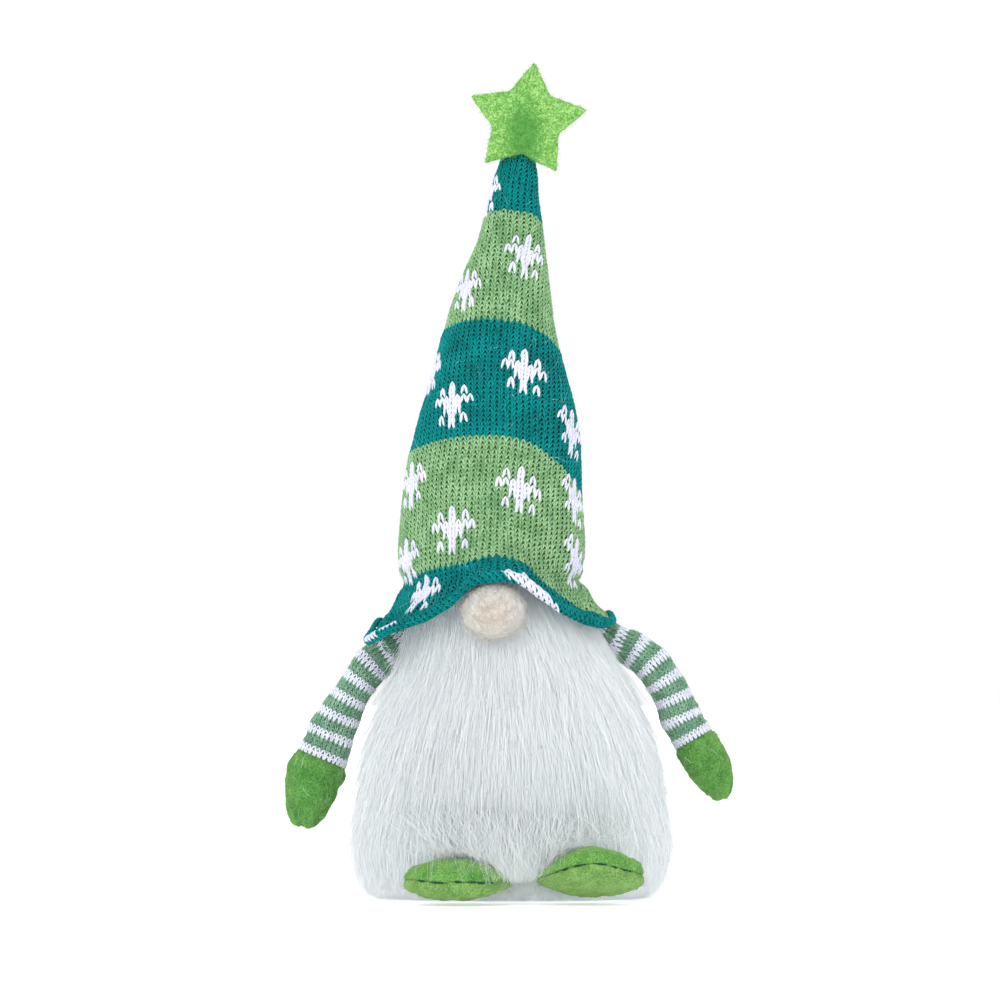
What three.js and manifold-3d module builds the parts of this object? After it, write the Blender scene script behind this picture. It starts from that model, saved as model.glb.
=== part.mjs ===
// Tomte gnome: a free-standing stuffed figurine. A weighted, stuffed body stands on a flat base; a long-pile
// fur beard wraps its front and sides; a tall knitted cone hat with a flared, rolled brim sits over its head
// and a wool nose; stuffed knitted arms end in felt mittens; two stuffed felt feet lie in front.
// Millimetres, +Z up, front towards -Y, the figure's own right arm on the -X side.
// Origin: on the ground, under the middle of the whole figure's box.
import * as THREE from "three";
import { mergeVertices } from "three/addons/utils/BufferGeometryUtils.js";
import Module from "manifold-3d";

const wasm = await Module();
wasm.setup();

// ---------- driving dimensions ----------
const SHIFT = [-0.18, 23.29, 0]; // from the body's axis to the middle of the whole figure's box
const GAP = 0.4; // clearance between a sleeve and its mitten

const HAT_TIP_Z = 384;
const HAT_WALL = 1.6; // knitted fabric
const ROLL_R = 2.3; // curled edge of the brim
const FLARE_H = 26; // height over which the brim flares out
// height, centre x, half-width of the hat's outside
const HAT = [
  [110, -9, 42],
  [151, -9, 42.3],
  [159, -8.6, 44.2],
  [174, -7.9, 44.6],
  [189, -7.6, 43.4],
  [205, -6.9, 41.7],
  [220, -5.5, 39.3],
  [236, -5.2, 36.7],
  [251, -4.8, 33.4],
  [266, -3.8, 29.6],
  [277, -2.9, 26.8],
  [289, -2.1, 24.6],
  [304, -0.7, 20.9],
  [316, 0.7, 17.6],
  [328, 1.4, 15.3],
  [342, 2.1, 12.8],
  [354, 3.3, 9.8],
  [364, 5, 8.6],
  [373, 6.5, 7.6],
  [379, 7.4, 6.3],
  [382.5, 8, 4.2],
  [384, 8.2, 1.5],
];
// angle from the front towards +X in degrees, radius from the hat's axis, height: the brim's edge
const BRIM = [
  [-180, 55, 124],
  [-151, 54.5, 125],
  [-122, 54, 129.5],
  [-98, 53, 136.5],
  [-84, 56.5, 130],
  [-70, 60, 122.5],
  [-48, 59.5, 131],
  [-31, 58.5, 137.5],
  [-18, 60, 144.5],
  [-5, 63.5, 152.3],
  [12, 63.5, 152.3],
  [24, 61.5, 144],
  [38, 60, 136.5],
  [58, 59.7, 131.5],
  [78, 59.2, 132.5],
  [98, 57.6, 138.5],
  [120, 59, 131.5],
  [145, 58.5, 126],
  [180, 55, 124],
];

// body: height, half-width, half-depth; its centre moves sideways under the hat
const BODY_WALL = 1.2;
const BODY = [
  [1.9, 46, 42],
  [8, 47.6, 43.4],
  [25, 48.5, 44],
  [60, 47, 43.5],
  [100, 43, 41],
  [130, 39.3, 38.6],
  [146, 37, 36.6],
  [155, 31.5, 31.5],
  [161, 20, 20],
  [164, 6, 6],
];
const BODY_Y = 2.5;

// fur pile: height, half-width, front, centre x
const FUR = [
  [1.2, 60, 50, 1.5],
  [6, 66, 56, 1.5],
  [22, 74.5, 61, 1.5],
  [38, 74, 61, 1.5],
  [53, 72, 60, 1.5],
  [68, 69.5, 58, 1.4],
  [83, 65, 56, 1.3],
  [98, 59, 53, 0.8],
  [114, 51.5, 50, -0.5],
  [130, 45.5, 46.8, -3],
  [140, 42, 44, -5.5],
  [147, 39.6, 41.6, -6.8],
];
const FUR_BACK = 48.3; // the pile thins out towards the back seam
const BACK_PANEL_HALF = 33; // half-width of the bare back between the fur's two edges

const NOSE = { at: [-7, -52.8, 137.6], r: [15.2, 12.6, 13.6] };
const STAR = { at: [9, 26.6, 372], outer: 29, inner: 16.4, turn: -7.2, lean: 14, thick: 3 };

// arms: shoulder point, then stations [x, z] of the centre line; radii [length along, in-plane, depth]
const ARM_Y = 8;
const ARM_WALL = 1.3;
const LEFT_ARM = {
  side: -1,
  shoulder: [-57, 118],
  path: [
    [-57, 118],
    [-64, 112.6],
    [-70.3, 105],
    [-75.6, 96],
    [-80.6, 86],
    [-85.3, 75.7],
    [-89.6, 65.8],
    [-93.6, 55],
    [-96.2, 45],
    [-97.6, 35.5],
  ],
  cuff: 61,
  radii: [
    [0, 9.5, 9.5],
    [10, 9.6, 9.4],
    [26, 9.9, 9.3],
    [40, 10.6, 9.5],
    [52, 11.8, 9.8],
    [61, 12.8, 10.1],
    [64, 13.3, 10.4],
    [72, 13.2, 10.4],
    [80, 11.6, 9.6],
    [87, 9, 7.8],
    [91, 6, 5.4],
    [93, 2.4, 2.2],
  ],
};
const RIGHT_ARM = {
  side: 1,
  shoulder: [52.5, 122.5],
  path: [
    [52.5, 122.5],
    [60, 118.6],
    [67.3, 112.3],
    [73.8, 104],
    [79.3, 94.2],
    [84.2, 84],
    [89, 75.5],
    [94.4, 66],
    [98.8, 57.5],
    [102.2, 49],
  ],
  cuff: 60,
  radii: [
    [0, 8.2, 8.2],
    [10, 8.6, 9],
    [24, 9.2, 10.2],
    [38, 9.7, 11.2],
    [50, 10.1, 12.2],
    [60, 10.3, 12.7],
    [63, 10.7, 13.1],
    [71, 10.7, 13],
    [78, 9.8, 11.6],
    [84, 7.6, 9],
    [88, 4.8, 5.6],
    [90, 2, 2.2],
  ],
};

// feet: centre, half-width, half-length, seam height, top and sole height, turn about Z, toe lift
const FOOT_WALL = 1.4;
const LEFT_FOOT = { side: -1, x: -23.6, y: -77.5, a: 24.6, b: 27, up: 13.2, down: 11.3, z: 11.7, turn: 0, lift: 0 };
const RIGHT_FOOT = { side: 1, x: 38, y: -77, a: 24.6, b: 27, up: 13.2, down: 11.3, z: 13.6, turn: 0, lift: 7 };
const FOOT_HINGE = [-50.8, 14]; // y, z of the seam that each foot turns on
const FOOT_LIFT_MAX = 45;

// ---------- helpers ----------
const rad = (d) => (d * Math.PI) / 180;

// Smooth interpolation of a table of rows [x, a, b, ...].
function at(table, x) {
  const n = table.length;
  if (x <= table[0][0]) return table[0].slice(1);
  if (x >= table[n - 1][0]) return table[n - 1].slice(1);
  let i = 0;
  while (x > table[i + 1][0]) i++;
  const [p, q] = [table[i], table[i + 1]];
  const h = q[0] - p[0];
  const t = (x - p[0]) / h;
  const before = table[Math.max(i - 1, 0)];
  const after = table[Math.min(i + 2, n - 1)];
  return p.slice(1).map((v, k) => {
    const w = q[k + 1];
    const m0 = ((w - before[k + 1]) / (q[0] - before[0])) * h;
    const m1 = ((after[k + 1] - v) / (after[0] - p[0])) * h;
    return (
      v * (2 * t ** 3 - 3 * t * t + 1) +
      m0 * (t ** 3 - 2 * t * t + t) +
      w * (3 * t * t - 2 * t ** 3) +
      m1 * (t ** 3 - t * t)
    );
  });
}

// A turned solid: the profile's points are [radius, height], and place(radius, angle, height) moves each one
// from the lathe to its final spot. angle is 0 at the front (-Y) and grows towards +X.
function turned(profile, segments, place) {
  const g = new THREE.LatheGeometry(
    profile.map(([r, h]) => new THREE.Vector2(r, h)),
    segments,
  );
  const p = g.attributes.position;
  for (let i = 0; i < p.count; i++) {
    const [x, h, z] = [p.getX(i), p.getY(i), p.getZ(i)];
    p.setXYZ(i, ...place(Math.hypot(x, z), Math.atan2(x, -z), h));
  }
  return facingOut(g);
}

function facingOut(g) {
  const p = g.attributes.position;
  const index = g.index.array;
  const [a, b, c] = [new THREE.Vector3(), new THREE.Vector3(), new THREE.Vector3()];
  let volume = 0;
  for (let i = 0; i < index.length; i += 3) {
    a.fromBufferAttribute(p, index[i]);
    b.fromBufferAttribute(p, index[i + 1]);
    c.fromBufferAttribute(p, index[i + 2]);
    volume += a.dot(b.cross(c));
  }
  if (volume < 0)
    for (let i = 0; i < index.length; i += 3) [index[i + 1], index[i + 2]] = [index[i + 2], index[i + 1]];
  return g;
}

function solid(geometry) {
  let g = geometry.clone();
  g.deleteAttribute("normal");
  g.deleteAttribute("uv");
  g = mergeVertices(g, 1e-3);
  return new wasm.Manifold(
    new wasm.Mesh({
      numProp: 3,
      vertProperties: new Float32Array(g.attributes.position.array),
      triVerts: new Uint32Array(g.index.array),
    }),
  );
}

function geometry(manifold) {
  const m = manifold.getMesh();
  const v = new Float32Array(m.numVert * 3);
  for (let i = 0; i < m.numVert; i++) v.set(m.vertProperties.subarray(i * m.numProp, i * m.numProp + 3), i * 3);
  const g = new THREE.BufferGeometry();
  g.setAttribute("position", new THREE.BufferAttribute(v, 3));
  g.setIndex(new THREE.BufferAttribute(new Uint32Array(m.triVerts), 1));
  return g;
}

function moved(g, matrix) {
  return g.clone().applyMatrix4(matrix);
}

const figure = new THREE.Group();
figure.position.set(...SHIFT);
function piece(parent, name, g, colour, roughness = 0.9) {
  g.computeVertexNormals();
  const mesh = new THREE.Mesh(g, new THREE.MeshStandardMaterial({ color: colour, roughness, metalness: 0 }));
  mesh.name = name;
  parent.add(mesh);
  return mesh;
}

// ---------- body ----------
const bodyX = (z) => {
  const t = Math.min(Math.max((z - 95) / 60, 0), 1);
  return 1.5 - 8.5 * t * t * (3 - 2 * t);
};
function bodyPoint(shrink) {
  return (r, a, z) => {
    const [rx, ry] = at(BODY, z);
    const k = r === 0 ? 0 : 1;
    return [
      bodyX(z) + k * Math.max(rx - shrink(r), 0.5) * Math.sin(a),
      BODY_Y - k * Math.max(ry - shrink(r), 0.5) * Math.cos(a),
      z,
    ];
  };
}
const BODY_SEG = 24;
// A shell's profile runs from the axis down its outside (radius 2) and back up its inside (radius 1).
piece(
  figure,
  "body_cover",
  turned(
    [
      [0, 164.4],
      ...[160, 154, 146, 130, 100, 60, 25, 1.9].map((z) => [2, z]),
      ...[1.9, 25, 60, 100, 130, 146, 153, 158].map((z) => [1, z]),
      [0, 162.6],
    ],
    BODY_SEG,
    bodyPoint((r) => (r > 1.5 ? 0 : BODY_WALL)),
  ),
  0xf1f2ef,
);
const disc = (name, z0, z1, shrink, colour) =>
  piece(
    figure,
    name,
    turned(
      [
        [0, z0],
        [1, z0],
        [1, z1],
        [0, z1],
      ],
      BODY_SEG,
      (r, a, z) => [
        bodyX(z) + r * (46 - shrink) * Math.sin(a),
        BODY_Y - r * (42 - shrink) * Math.cos(a),
        z,
      ],
    ),
    colour,
  );
disc("base_cover", 0, 1.5, 0, 0xe8e8e4);
disc("base_board", 1.9, 3.9, BODY_WALL + 0.5, 0x8d8a84);

// a squashed pouch of pellets on the base board
piece(
  figure,
  "weight_pouch",
  turned(
    [
      [0, 4.4],
      [0.74, 4.4],
      [1, 12],
      [0.97, 21],
      [0.7, 29],
      [0, 31.6],
    ],
    18,
    (r, a, z) => [1.5 + r * 42.5 * Math.sin(a), BODY_Y - r * 38.5 * Math.cos(a), z],
  ),
  0xbdb7a8,
);
piece(
  figure,
  "body_filling",
  turned(
    [[0, 32.4], ...[32.4, 60, 100, 130, 146, 153].map((z) => [1, z]), [0, 157]],
    BODY_SEG,
    bodyPoint(() => BODY_WALL + 0.9),
  ),
  0xffffff,
);

// ---------- nose ----------
const ball = new THREE.SphereGeometry(1, 18, 10);
const nose = moved(
  ball,
  new THREE.Matrix4().makeTranslation(...NOSE.at).multiply(new THREE.Matrix4().makeScale(...NOSE.r)),
);
piece(figure, "nose", nose, 0xe9dccf);

// ---------- hat ----------
const HAT_SEG = 32;
const edge = (a) => at(BRIM, (a * 180) / Math.PI);
const hatY = (z) => 2 + 36 * Math.max((z - 151) / 229, 0) ** 1.15;
// a point of the hat's outside: t is 0 at the tip and 1 at the brim's edge
function hatPoint(t, a, inset) {
  const [edgeR, edgeZ] = edge(a);
  const z = HAT_TIP_Z - (HAT_TIP_Z - edgeZ) * t;
  const [cx, rx] = at(HAT, z);
  const d = Math.min((z - edgeZ) / FLARE_H, 1);
  const flare = (1 - d) ** 1.9;
  const r = rx + (edgeR - rx) * flare - inset;
  const ry = r * (1 - 0.02 * Math.cos(a) ** 2);
  return [cx + r * Math.sin(a), hatY(z) - ry * Math.cos(a), z];
}
const hatRows = [0.008, 0.03, 0.11, 0.23, 0.36, 0.5, 0.64, 0.76, 0.84, 0.9, 0.95, 1];
const hatWall = turned(
  [
    [0, 0],
    ...hatRows.map((t) => [2, t]),
    ...hatRows
      .filter((t) => t > 0.05)
      .reverse()
      .map((t) => [1, t]),
    [0, 0.04],
  ],
  HAT_SEG,
  (r, a, t) => {
    if (r === 0) return [8.2, hatY(384), t === 0 ? HAT_TIP_Z : HAT_TIP_Z - 9.5];
    return hatPoint(t, a, r > 1.5 ? 0 : HAT_WALL);
  },
);
// the edge of plain knitting curls outwards into a thick roll
const roll = new THREE.TorusGeometry(10, ROLL_R, 6, 48);
{
  const p = roll.attributes.position;
  for (let i = 0; i < p.count; i++) {
    const [x, y, z] = [p.getX(i), p.getY(i), p.getZ(i)];
    const a = Math.atan2(x, -y);
    const out = Math.hypot(x, y) - 10;
    const c = hatPoint(1, a, 0.6);
    p.setXYZ(i, c[0] + out * Math.sin(a), c[1] - out * Math.cos(a), c[2] + z);
  }
}
piece(figure, "hat_knit", geometry(solid(hatWall).add(solid(facingOut(roll)))), 0x0a9c90);
// loose fibre filling inside the cone, above the head
piece(
  figure,
  "hat_filling",
  turned(
    [[0, 0.08], ...hatRows.filter((t) => t > 0.1 && t < 0.86).map((t) => [1, t]), [0, 0.9]],
    HAT_SEG,
    (r, a, t) => {
      if (r === 0) return t < 0.5 ? [6.4, hatY(368), 367] : [-8, hatY(172), 173];
      return hatPoint(t, a, HAT_WALL + 0.8);
    },
  ),
  0xffffff,
);

// ---------- star ----------
const starShape = new THREE.Shape();
for (let i = 0; i < 10; i++) {
  const r = i % 2 ? STAR.inner : STAR.outer;
  const a = rad(36 * i - STAR.turn);
  const [x, y] = [r * Math.sin(a), r * Math.cos(a)];
  if (i) starShape.lineTo(x, y);
  else starShape.moveTo(x, y);
}
starShape.closePath();
const star = piece(
  figure,
  "hat_star",
  new THREE.ExtrudeGeometry(starShape, { depth: STAR.thick, bevelEnabled: false }),
  0x8fd24a,
);
// the outline is drawn facing +Z; it stands up facing -Y and leans back with the front of the hat
star.position.set(...STAR.at);
star.rotation.set(rad(90 - STAR.lean), 0, 0);

// ---------- arms ----------
function armFrame(arm) {
  const curve = new THREE.CatmullRomCurve3(
    arm.path.map(([x, z]) => new THREE.Vector3(x, ARM_Y, z)),
    false,
    "centripetal",
  );
  const length = curve.getLength();
  const first = curve.getTangentAt(0);
  const last = curve.getTangentAt(1);
  // place: s is the length along the arm, k the share of the radius, and inset is taken off it
  return {
    length,
    place(s, a, k, inset) {
      const c =
        s < 0
          ? curve.getPointAt(0).addScaledVector(first, s)
          : s > length
            ? curve.getPointAt(1).addScaledVector(last, s - length)
            : curve.getPointAt(s / length);
      const t = s < 0 ? first : s > length ? last : curve.getTangentAt(s / length);
      const [w, d] = at(arm.radii, Math.max(s, 0));
      const cap = s < 0 ? Math.sqrt(Math.max(1 - (s / arm.radii[0][1]) ** 2, 0)) : 1;
      const [u, v] = [Math.max(w * cap - inset, 0.3) * k, Math.max(d * cap - inset, 0.3) * k];
      return [c.x + u * Math.sin(a) * t.z, c.y - v * Math.cos(a), c.z - u * Math.sin(a) * t.x];
    },
  };
}
for (const [side, arm] of [
  ["left", LEFT_ARM],
  ["right", RIGHT_ARM],
]) {
  const f = armFrame(arm);
  const r0 = arm.radii[0][1];
  const end = arm.radii.at(-1)[0];
  // stations of the rounded shoulder end: shares of its radius behind the shoulder point
  const cap = [0.95, 0.6].map((k) => -k * r0);
  const sleeveRows = [...cap, 0, 14, 30, 46, arm.cuff];
  const group = new THREE.Group();
  figure.add(group);
  piece(
    group,
    side + "_sleeve",
    turned(
      [
        [0, -r0],
        ...sleeveRows.map((s) => [2, s]),
        ...[...sleeveRows].reverse().filter((s) => s > -0.9 * r0).map((s) => [1, s]),
        [0, -r0 + ARM_WALL + 0.2],
      ],
      16,
      (r, a, s) => f.place(s, a, r === 0 ? 0 : 1, r > 1.5 || r === 0 ? 0 : ARM_WALL),
    ),
    0xc9d8c0,
  );
  const mitten = [arm.cuff + GAP, arm.cuff + 5, arm.cuff + 12, end - 12, end - 6, end - 2, end];
  piece(
    group,
    side + "_mitten",
    turned(
      [
        [0, end + 0.8],
        ...[...mitten].reverse().map((s) => [2, s]),
        ...mitten.filter((s) => s < end - 3).map((s) => [1, s]),
        [0, end - 2],
      ],
      16,
      (r, a, s) => f.place(s, a, r === 0 ? 0 : 1, r > 1.5 ? 0 : ARM_WALL),
    ),
    0x6cab40,
  );
  const fill = [-0.5 * r0, 0, 14, 30, 46, arm.cuff, arm.cuff + 12, end - 12];
  piece(
    group,
    side + "_arm_filling",
    turned([[0, -0.7 * r0], ...fill.map((s) => [1, s]), [0, end - 8]], 16, (r, a, s) =>
      f.place(s, a, r === 0 ? 0 : 1, r === 0 ? 0 : ARM_WALL + 1),
    ),
    0xffffff,
  );
  // the unstuffed end of the sleeve, pressed flat and sewn into the body's side seam
  const inner = bodyX(arm.shoulder[1]) + arm.side * 41.7;
  const outer = arm.shoulder[0] - arm.side * (r0 + 0.5);
  const tab = new THREE.CylinderGeometry(1, 1, Math.abs(outer - inner), 14);
  tab.rotateZ(Math.PI / 2);
  tab.scale(1, 2, 6.2);
  const mesh = piece(group, side + "_shoulder_tab", tab, 0xe6ece2);
  mesh.position.set((inner + outer) / 2, ARM_Y, arm.shoulder[1]);
}

// ---------- feet ----------
function footMatrix(foot) {
  return new THREE.Matrix4()
    .makeTranslation(foot.x, foot.y, foot.z)
    .multiply(new THREE.Matrix4().makeRotationX(rad(-foot.lift)))
    .multiply(new THREE.Matrix4().makeRotationZ(rad(foot.turn)));
}
// half a pillow above or below the seam; grow enlarges it all round
function footPoint(foot, grow) {
  return (r, a, h) => {
    const k = Math.cos(rad(90 * Math.abs(h))) ** 0.62; // plan size at this height, fuller than a ball
    const z = h > 0 ? (foot.up + grow) * Math.sin(rad(90 * h)) : -(foot.down + grow) * Math.sin(rad(-90 * h)) ** 0.8;
    const share = r === 0 ? 0 : Math.max(k, 0.02);
    return [share * (foot.a + grow) * Math.sin(a), -share * (foot.b + grow) * Math.cos(a), z];
  };
}
const halfRows = [0, 0.2, 0.42, 0.66, 0.88];
function footHalf(foot, sign) {
  const seam = sign * 0.2; // half the gap at the seam
  return turned(
    [
      [0, sign * 1],
      ...[...halfRows].reverse().map((h) => [2, sign * h]),
      ...halfRows.map((h) => [1, sign * h]),
      [0, sign * 0.999],
    ],
    20,
    (r, a, h) => {
      const inside = r > 0.5 ? r < 1.5 : Math.abs(h) < 1;
      const p = footPoint(foot, inside ? -FOOT_WALL : 0)(r, a, h);
      return [p[0], p[1], p[2] + seam];
    },
  );
}
for (const [side, foot] of [
  ["left", LEFT_FOOT],
  ["right", RIGHT_FOOT],
]) {
  const m = footMatrix(foot);
  const add = (name, g, colour) => piece(figure, side + name, moved(g, m), colour);
  add("_foot_upper", footHalf(foot, 1), 0x76b548);
  add("_foot_sole", footHalf(foot, -1), 0x6cab40);
  add(
    "_foot_filling",
    turned([[0, -1], ...[-0.8, -0.4, 0, 0.4, 0.8].map((h) => [1, h]), [0, 1]], 16, (r, a, h) => {
      const p = footPoint(foot, -FOOT_WALL - 0.9)(r, a, h);
      return p;
    }),
    0xffffff,
  );
  // the seam allowance that joins the foot to the body's lower edge
  const tab = new THREE.BoxGeometry(24, 5.4, 2);
  const mesh = piece(figure, side + "_foot_tab", tab, 0x5f9a3a);
  mesh.position.set(foot.x * 0.55 + (foot.side > 0 ? 3 : -3), -45.6, FOOT_HINGE[1]);
}

// ---------- fur ----------
const furRows = [1.2, 8, 22, 48, 72, 98, 122, 147];
const furOuter = (a, z) => {
  const [rx, front, cx] = at(FUR, z);
  const y = Math.cos(a) > 0 ? front + BODY_Y : Math.min(FUR_BACK, front + BODY_Y) * (at(BODY, z)[1] / 44) + 1;
  return [cx + rx * Math.sin(a), BODY_Y - y * Math.cos(a), z];
};
let fur = solid(
  turned(
    [...furRows.map((z) => [2, z]), ...[...furRows].reverse().map((z) => [1, z]), [2, furRows[0]]],
    32,
    (r, a, z) => {
      if (r > 1.5) return furOuter(a, z);
      const zz = Math.max(z, 1.9);
      const [rx, ry] = at(BODY, zz);
      return [bodyX(zz) + (rx + 1) * Math.sin(a), BODY_Y - (ry + 1) * Math.cos(a), z];
    },
  ),
);
// the bare back between the fur's two edges
const back = new THREE.BoxGeometry(2 * BACK_PANEL_HALF, 90, 200);
back.translate(0, 50, 70);
fur = fur.subtract(solid(back));
// room for the nose, each shoulder and each foot as it lifts
fur = fur.subtract(
  solid(
    moved(
      ball,
      new THREE.Matrix4()
        .makeTranslation(...NOSE.at)
        .multiply(new THREE.Matrix4().makeScale(...NOSE.r.map((r) => r + 0.7))),
    ),
  ),
);
for (const arm of [LEFT_ARM, RIGHT_ARM]) {
  const socket = new THREE.SphereGeometry(arm.radii[0][1] + 1.4, 14, 8);
  socket.translate(arm.shoulder[0], ARM_Y, arm.shoulder[1]);
  fur = fur.subtract(solid(socket));
  const slot = new THREE.CylinderGeometry(7.4, 7.4, 24, 12);
  slot.rotateZ(Math.PI / 2);
  slot.translate(arm.shoulder[0] - arm.side * 10, ARM_Y, arm.shoulder[1]);
  fur = fur.subtract(solid(slot));
}
for (const foot of [LEFT_FOOT, RIGHT_FOOT]) {
  const shape = turned([[0, -1], ...[-0.85, -0.45, 0, 0.45, 0.85].map((h) => [1, h]), [0, 1]], 16, footPoint(foot, 2.2));
  for (const lift of [-4, 22, FOOT_LIFT_MAX]) {
    const turn = new THREE.Matrix4()
      .makeTranslation(0, ...FOOT_HINGE)
      .multiply(new THREE.Matrix4().makeRotationX(rad(-lift)))
      .multiply(new THREE.Matrix4().makeTranslation(0, -FOOT_HINGE[0], -FOOT_HINGE[1]));
    fur = fur.subtract(solid(moved(shape, turn.multiply(footMatrix(foot)))));
  }
  const slot = new THREE.BoxGeometry(26, 14, 4.6);
  slot.translate(foot.x * 0.55 + (foot.side > 0 ? 3 : -3), -46, FOOT_HINGE[1]);
  fur = fur.subtract(solid(slot));
}
piece(figure, "beard_fur", geometry(fur), 0xf3f6f8);

export default figure;
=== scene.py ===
"""Looks of the tomte gnome: knitted hat, felt star, wool nose, long-pile fur, striped knitted sleeves, felt
mittens and feet. Shapes are written in millimetres in the body's own axes (front towards -Y, +Z up) and moved
into the row frame by SHIFT when a mesh is made."""

import math

import bpy
import numpy as np
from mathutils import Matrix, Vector


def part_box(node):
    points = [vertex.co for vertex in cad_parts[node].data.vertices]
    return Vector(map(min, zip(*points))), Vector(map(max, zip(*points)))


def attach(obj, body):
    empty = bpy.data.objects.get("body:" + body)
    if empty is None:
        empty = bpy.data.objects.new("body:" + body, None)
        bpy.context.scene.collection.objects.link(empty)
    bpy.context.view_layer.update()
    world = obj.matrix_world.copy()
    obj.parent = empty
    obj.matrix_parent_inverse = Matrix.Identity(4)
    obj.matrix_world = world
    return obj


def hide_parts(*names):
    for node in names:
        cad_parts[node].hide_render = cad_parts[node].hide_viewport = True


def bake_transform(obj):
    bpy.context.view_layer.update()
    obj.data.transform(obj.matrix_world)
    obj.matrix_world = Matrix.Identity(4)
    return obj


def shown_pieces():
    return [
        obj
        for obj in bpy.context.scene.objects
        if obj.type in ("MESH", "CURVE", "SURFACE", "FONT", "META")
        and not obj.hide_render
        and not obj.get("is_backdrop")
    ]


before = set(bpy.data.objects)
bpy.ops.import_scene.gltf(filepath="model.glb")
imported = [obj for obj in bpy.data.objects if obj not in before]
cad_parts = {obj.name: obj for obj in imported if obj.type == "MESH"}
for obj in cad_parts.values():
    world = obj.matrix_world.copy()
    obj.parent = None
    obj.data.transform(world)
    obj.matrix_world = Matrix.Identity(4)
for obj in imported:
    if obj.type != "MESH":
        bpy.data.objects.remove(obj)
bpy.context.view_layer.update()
PI = math.pi
SHIFT = np.array([-0.18, 23.29, 0.0])


# ---------------------------------------------------------------- numbers
def at(table, x):
    """Smooth interpolation in a table whose first column is x."""
    tab = np.asarray(table, float)
    x = np.clip(np.asarray(x, float), tab[0, 0], tab[-1, 0])
    n = len(tab)
    i = np.clip(np.searchsorted(tab[:, 0], x, side="left") - 1, 0, n - 2)
    p, q = tab[i], tab[i + 1]
    h = (q[..., 0] - p[..., 0])[..., None]
    t = (x - p[..., 0])[..., None] / h
    b, c = tab[np.maximum(i - 1, 0)], tab[np.minimum(i + 2, n - 1)]
    v, w = p[..., 1:], q[..., 1:]
    m0 = (w - b[..., 1:]) / (q[..., 0] - b[..., 0])[..., None] * h
    m1 = (c[..., 1:] - v) / (c[..., 0] - p[..., 0])[..., None] * h
    return (
        v * (2 * t**3 - 3 * t * t + 1)
        + m0 * (t**3 - 2 * t * t + t)
        + w * (3 * t * t - 2 * t**3)
        + m1 * (t**3 - t * t)
    )


def unit(v):
    return v / np.maximum(np.linalg.norm(v, axis=-1, keepdims=True), 1e-9)


def wobble(p, size, seed, n=14):
    """Smooth pseudo-random field of feature size `size`, about -1 to 1."""
    r = np.random.default_rng(seed)
    k = unit(r.normal(size=(n, 3))) * (2 * PI / size) * r.uniform(0.6, 1.5, (n, 1))
    ph = r.uniform(0, 2 * PI, n)
    return np.sin(p @ k.T + ph).sum(-1) / math.sqrt(n) * 0.9


# ---------------------------------------------------------------- meshes
def build(name, v, faces, material, smooth=True):
    v = ((np.asarray(v, float).reshape(-1, 3) + SHIFT) * 0.001).astype(np.float32)
    faces = [np.asarray(f, np.int64) for f in faces if len(f)]
    loops = np.concatenate([f.ravel() for f in faces]).astype(np.int32)
    sizes = np.concatenate([np.full(len(f), f.shape[1]) for f in faces])
    starts = np.concatenate([[0], np.cumsum(sizes)[:-1]]).astype(np.int32)
    me = bpy.data.meshes.new(name)
    me.vertices.add(len(v))
    me.vertices.foreach_set("co", v.ravel())
    me.loops.add(len(loops))
    me.loops.foreach_set("vertex_index", loops)
    me.polygons.add(len(sizes))
    me.polygons.foreach_set("loop_start", starts)
    me.polygons.foreach_set("use_smooth", np.full(len(sizes), smooth))
    me.update(calc_edges=True)
    me.validate()
    o = bpy.data.objects.new(name, me)
    bpy.context.scene.collection.objects.link(o)
    for m in material if isinstance(material, (list, tuple)) else [material]:
        me.materials.append(m)
    return o


def join(parts):
    """Several (vertices, faces) as one."""
    vs, fs, base = [], {}, 0
    for v, faces in parts:
        v = np.asarray(v, float).reshape(-1, 3)
        vs.append(v)
        for f in faces:
            if len(f):
                fs.setdefault(f.shape[1], []).append(f + base)
        base += len(v)
    return np.concatenate(vs), [np.concatenate(fs[k]) for k in sorted(fs)]


def tubes(c, n, w, d, k=5):
    """Closed tubes along c (tubes, rings, 3), n is the side that faces out, w and d the half-width and half-depth."""
    t = unit(np.gradient(c, axis=1))
    s = unit(np.cross(t, n))
    n2 = np.cross(s, t)
    th = 2 * PI * np.arange(k) / k
    w = np.broadcast_to(w, c.shape[:2])[..., None, None]
    d = np.broadcast_to(d, c.shape[:2])[..., None, None]
    v = (
        c[:, :, None, :]
        + w * np.cos(th)[None, None, :, None] * s[:, :, None, :]
        + d * np.sin(th)[None, None, :, None] * n2[:, :, None, :]
    )
    q, m = c.shape[:2]
    base = (np.arange(q)[:, None, None] * m + np.arange(m - 1)[None, :, None]) * k
    j = np.arange(k)[None, None, :]
    j2 = (j + 1) % k
    quads = np.stack([base + j, base + k + j, base + k + j2, base + j2], -1).reshape(-1, 4)
    first = np.arange(q)[:, None] * m * k + np.arange(k)[None, :]
    last = first[:, ::-1] + (m - 1) * k
    return v.reshape(-1, 3), [quads, np.concatenate([first, last])]


def grid_faces(rows, cols, flip=False):
    """Quads of a grid that is closed round its columns, then a cap at each end."""
    i = np.arange(rows - 1)[:, None] * cols
    j = np.arange(cols)[None, :]
    j2 = (j + 1) % cols
    q = np.stack([i + j, i + cols + j, i + cols + j2, i + j2], -1).reshape(-1, 4)
    first = np.arange(cols)[None, :]
    last = (rows - 1) * cols + np.arange(cols)[None, ::-1]
    if flip:
        q, first, last = q[:, ::-1], first[:, ::-1], last[:, ::-1]
    return [q, first, last]


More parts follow.
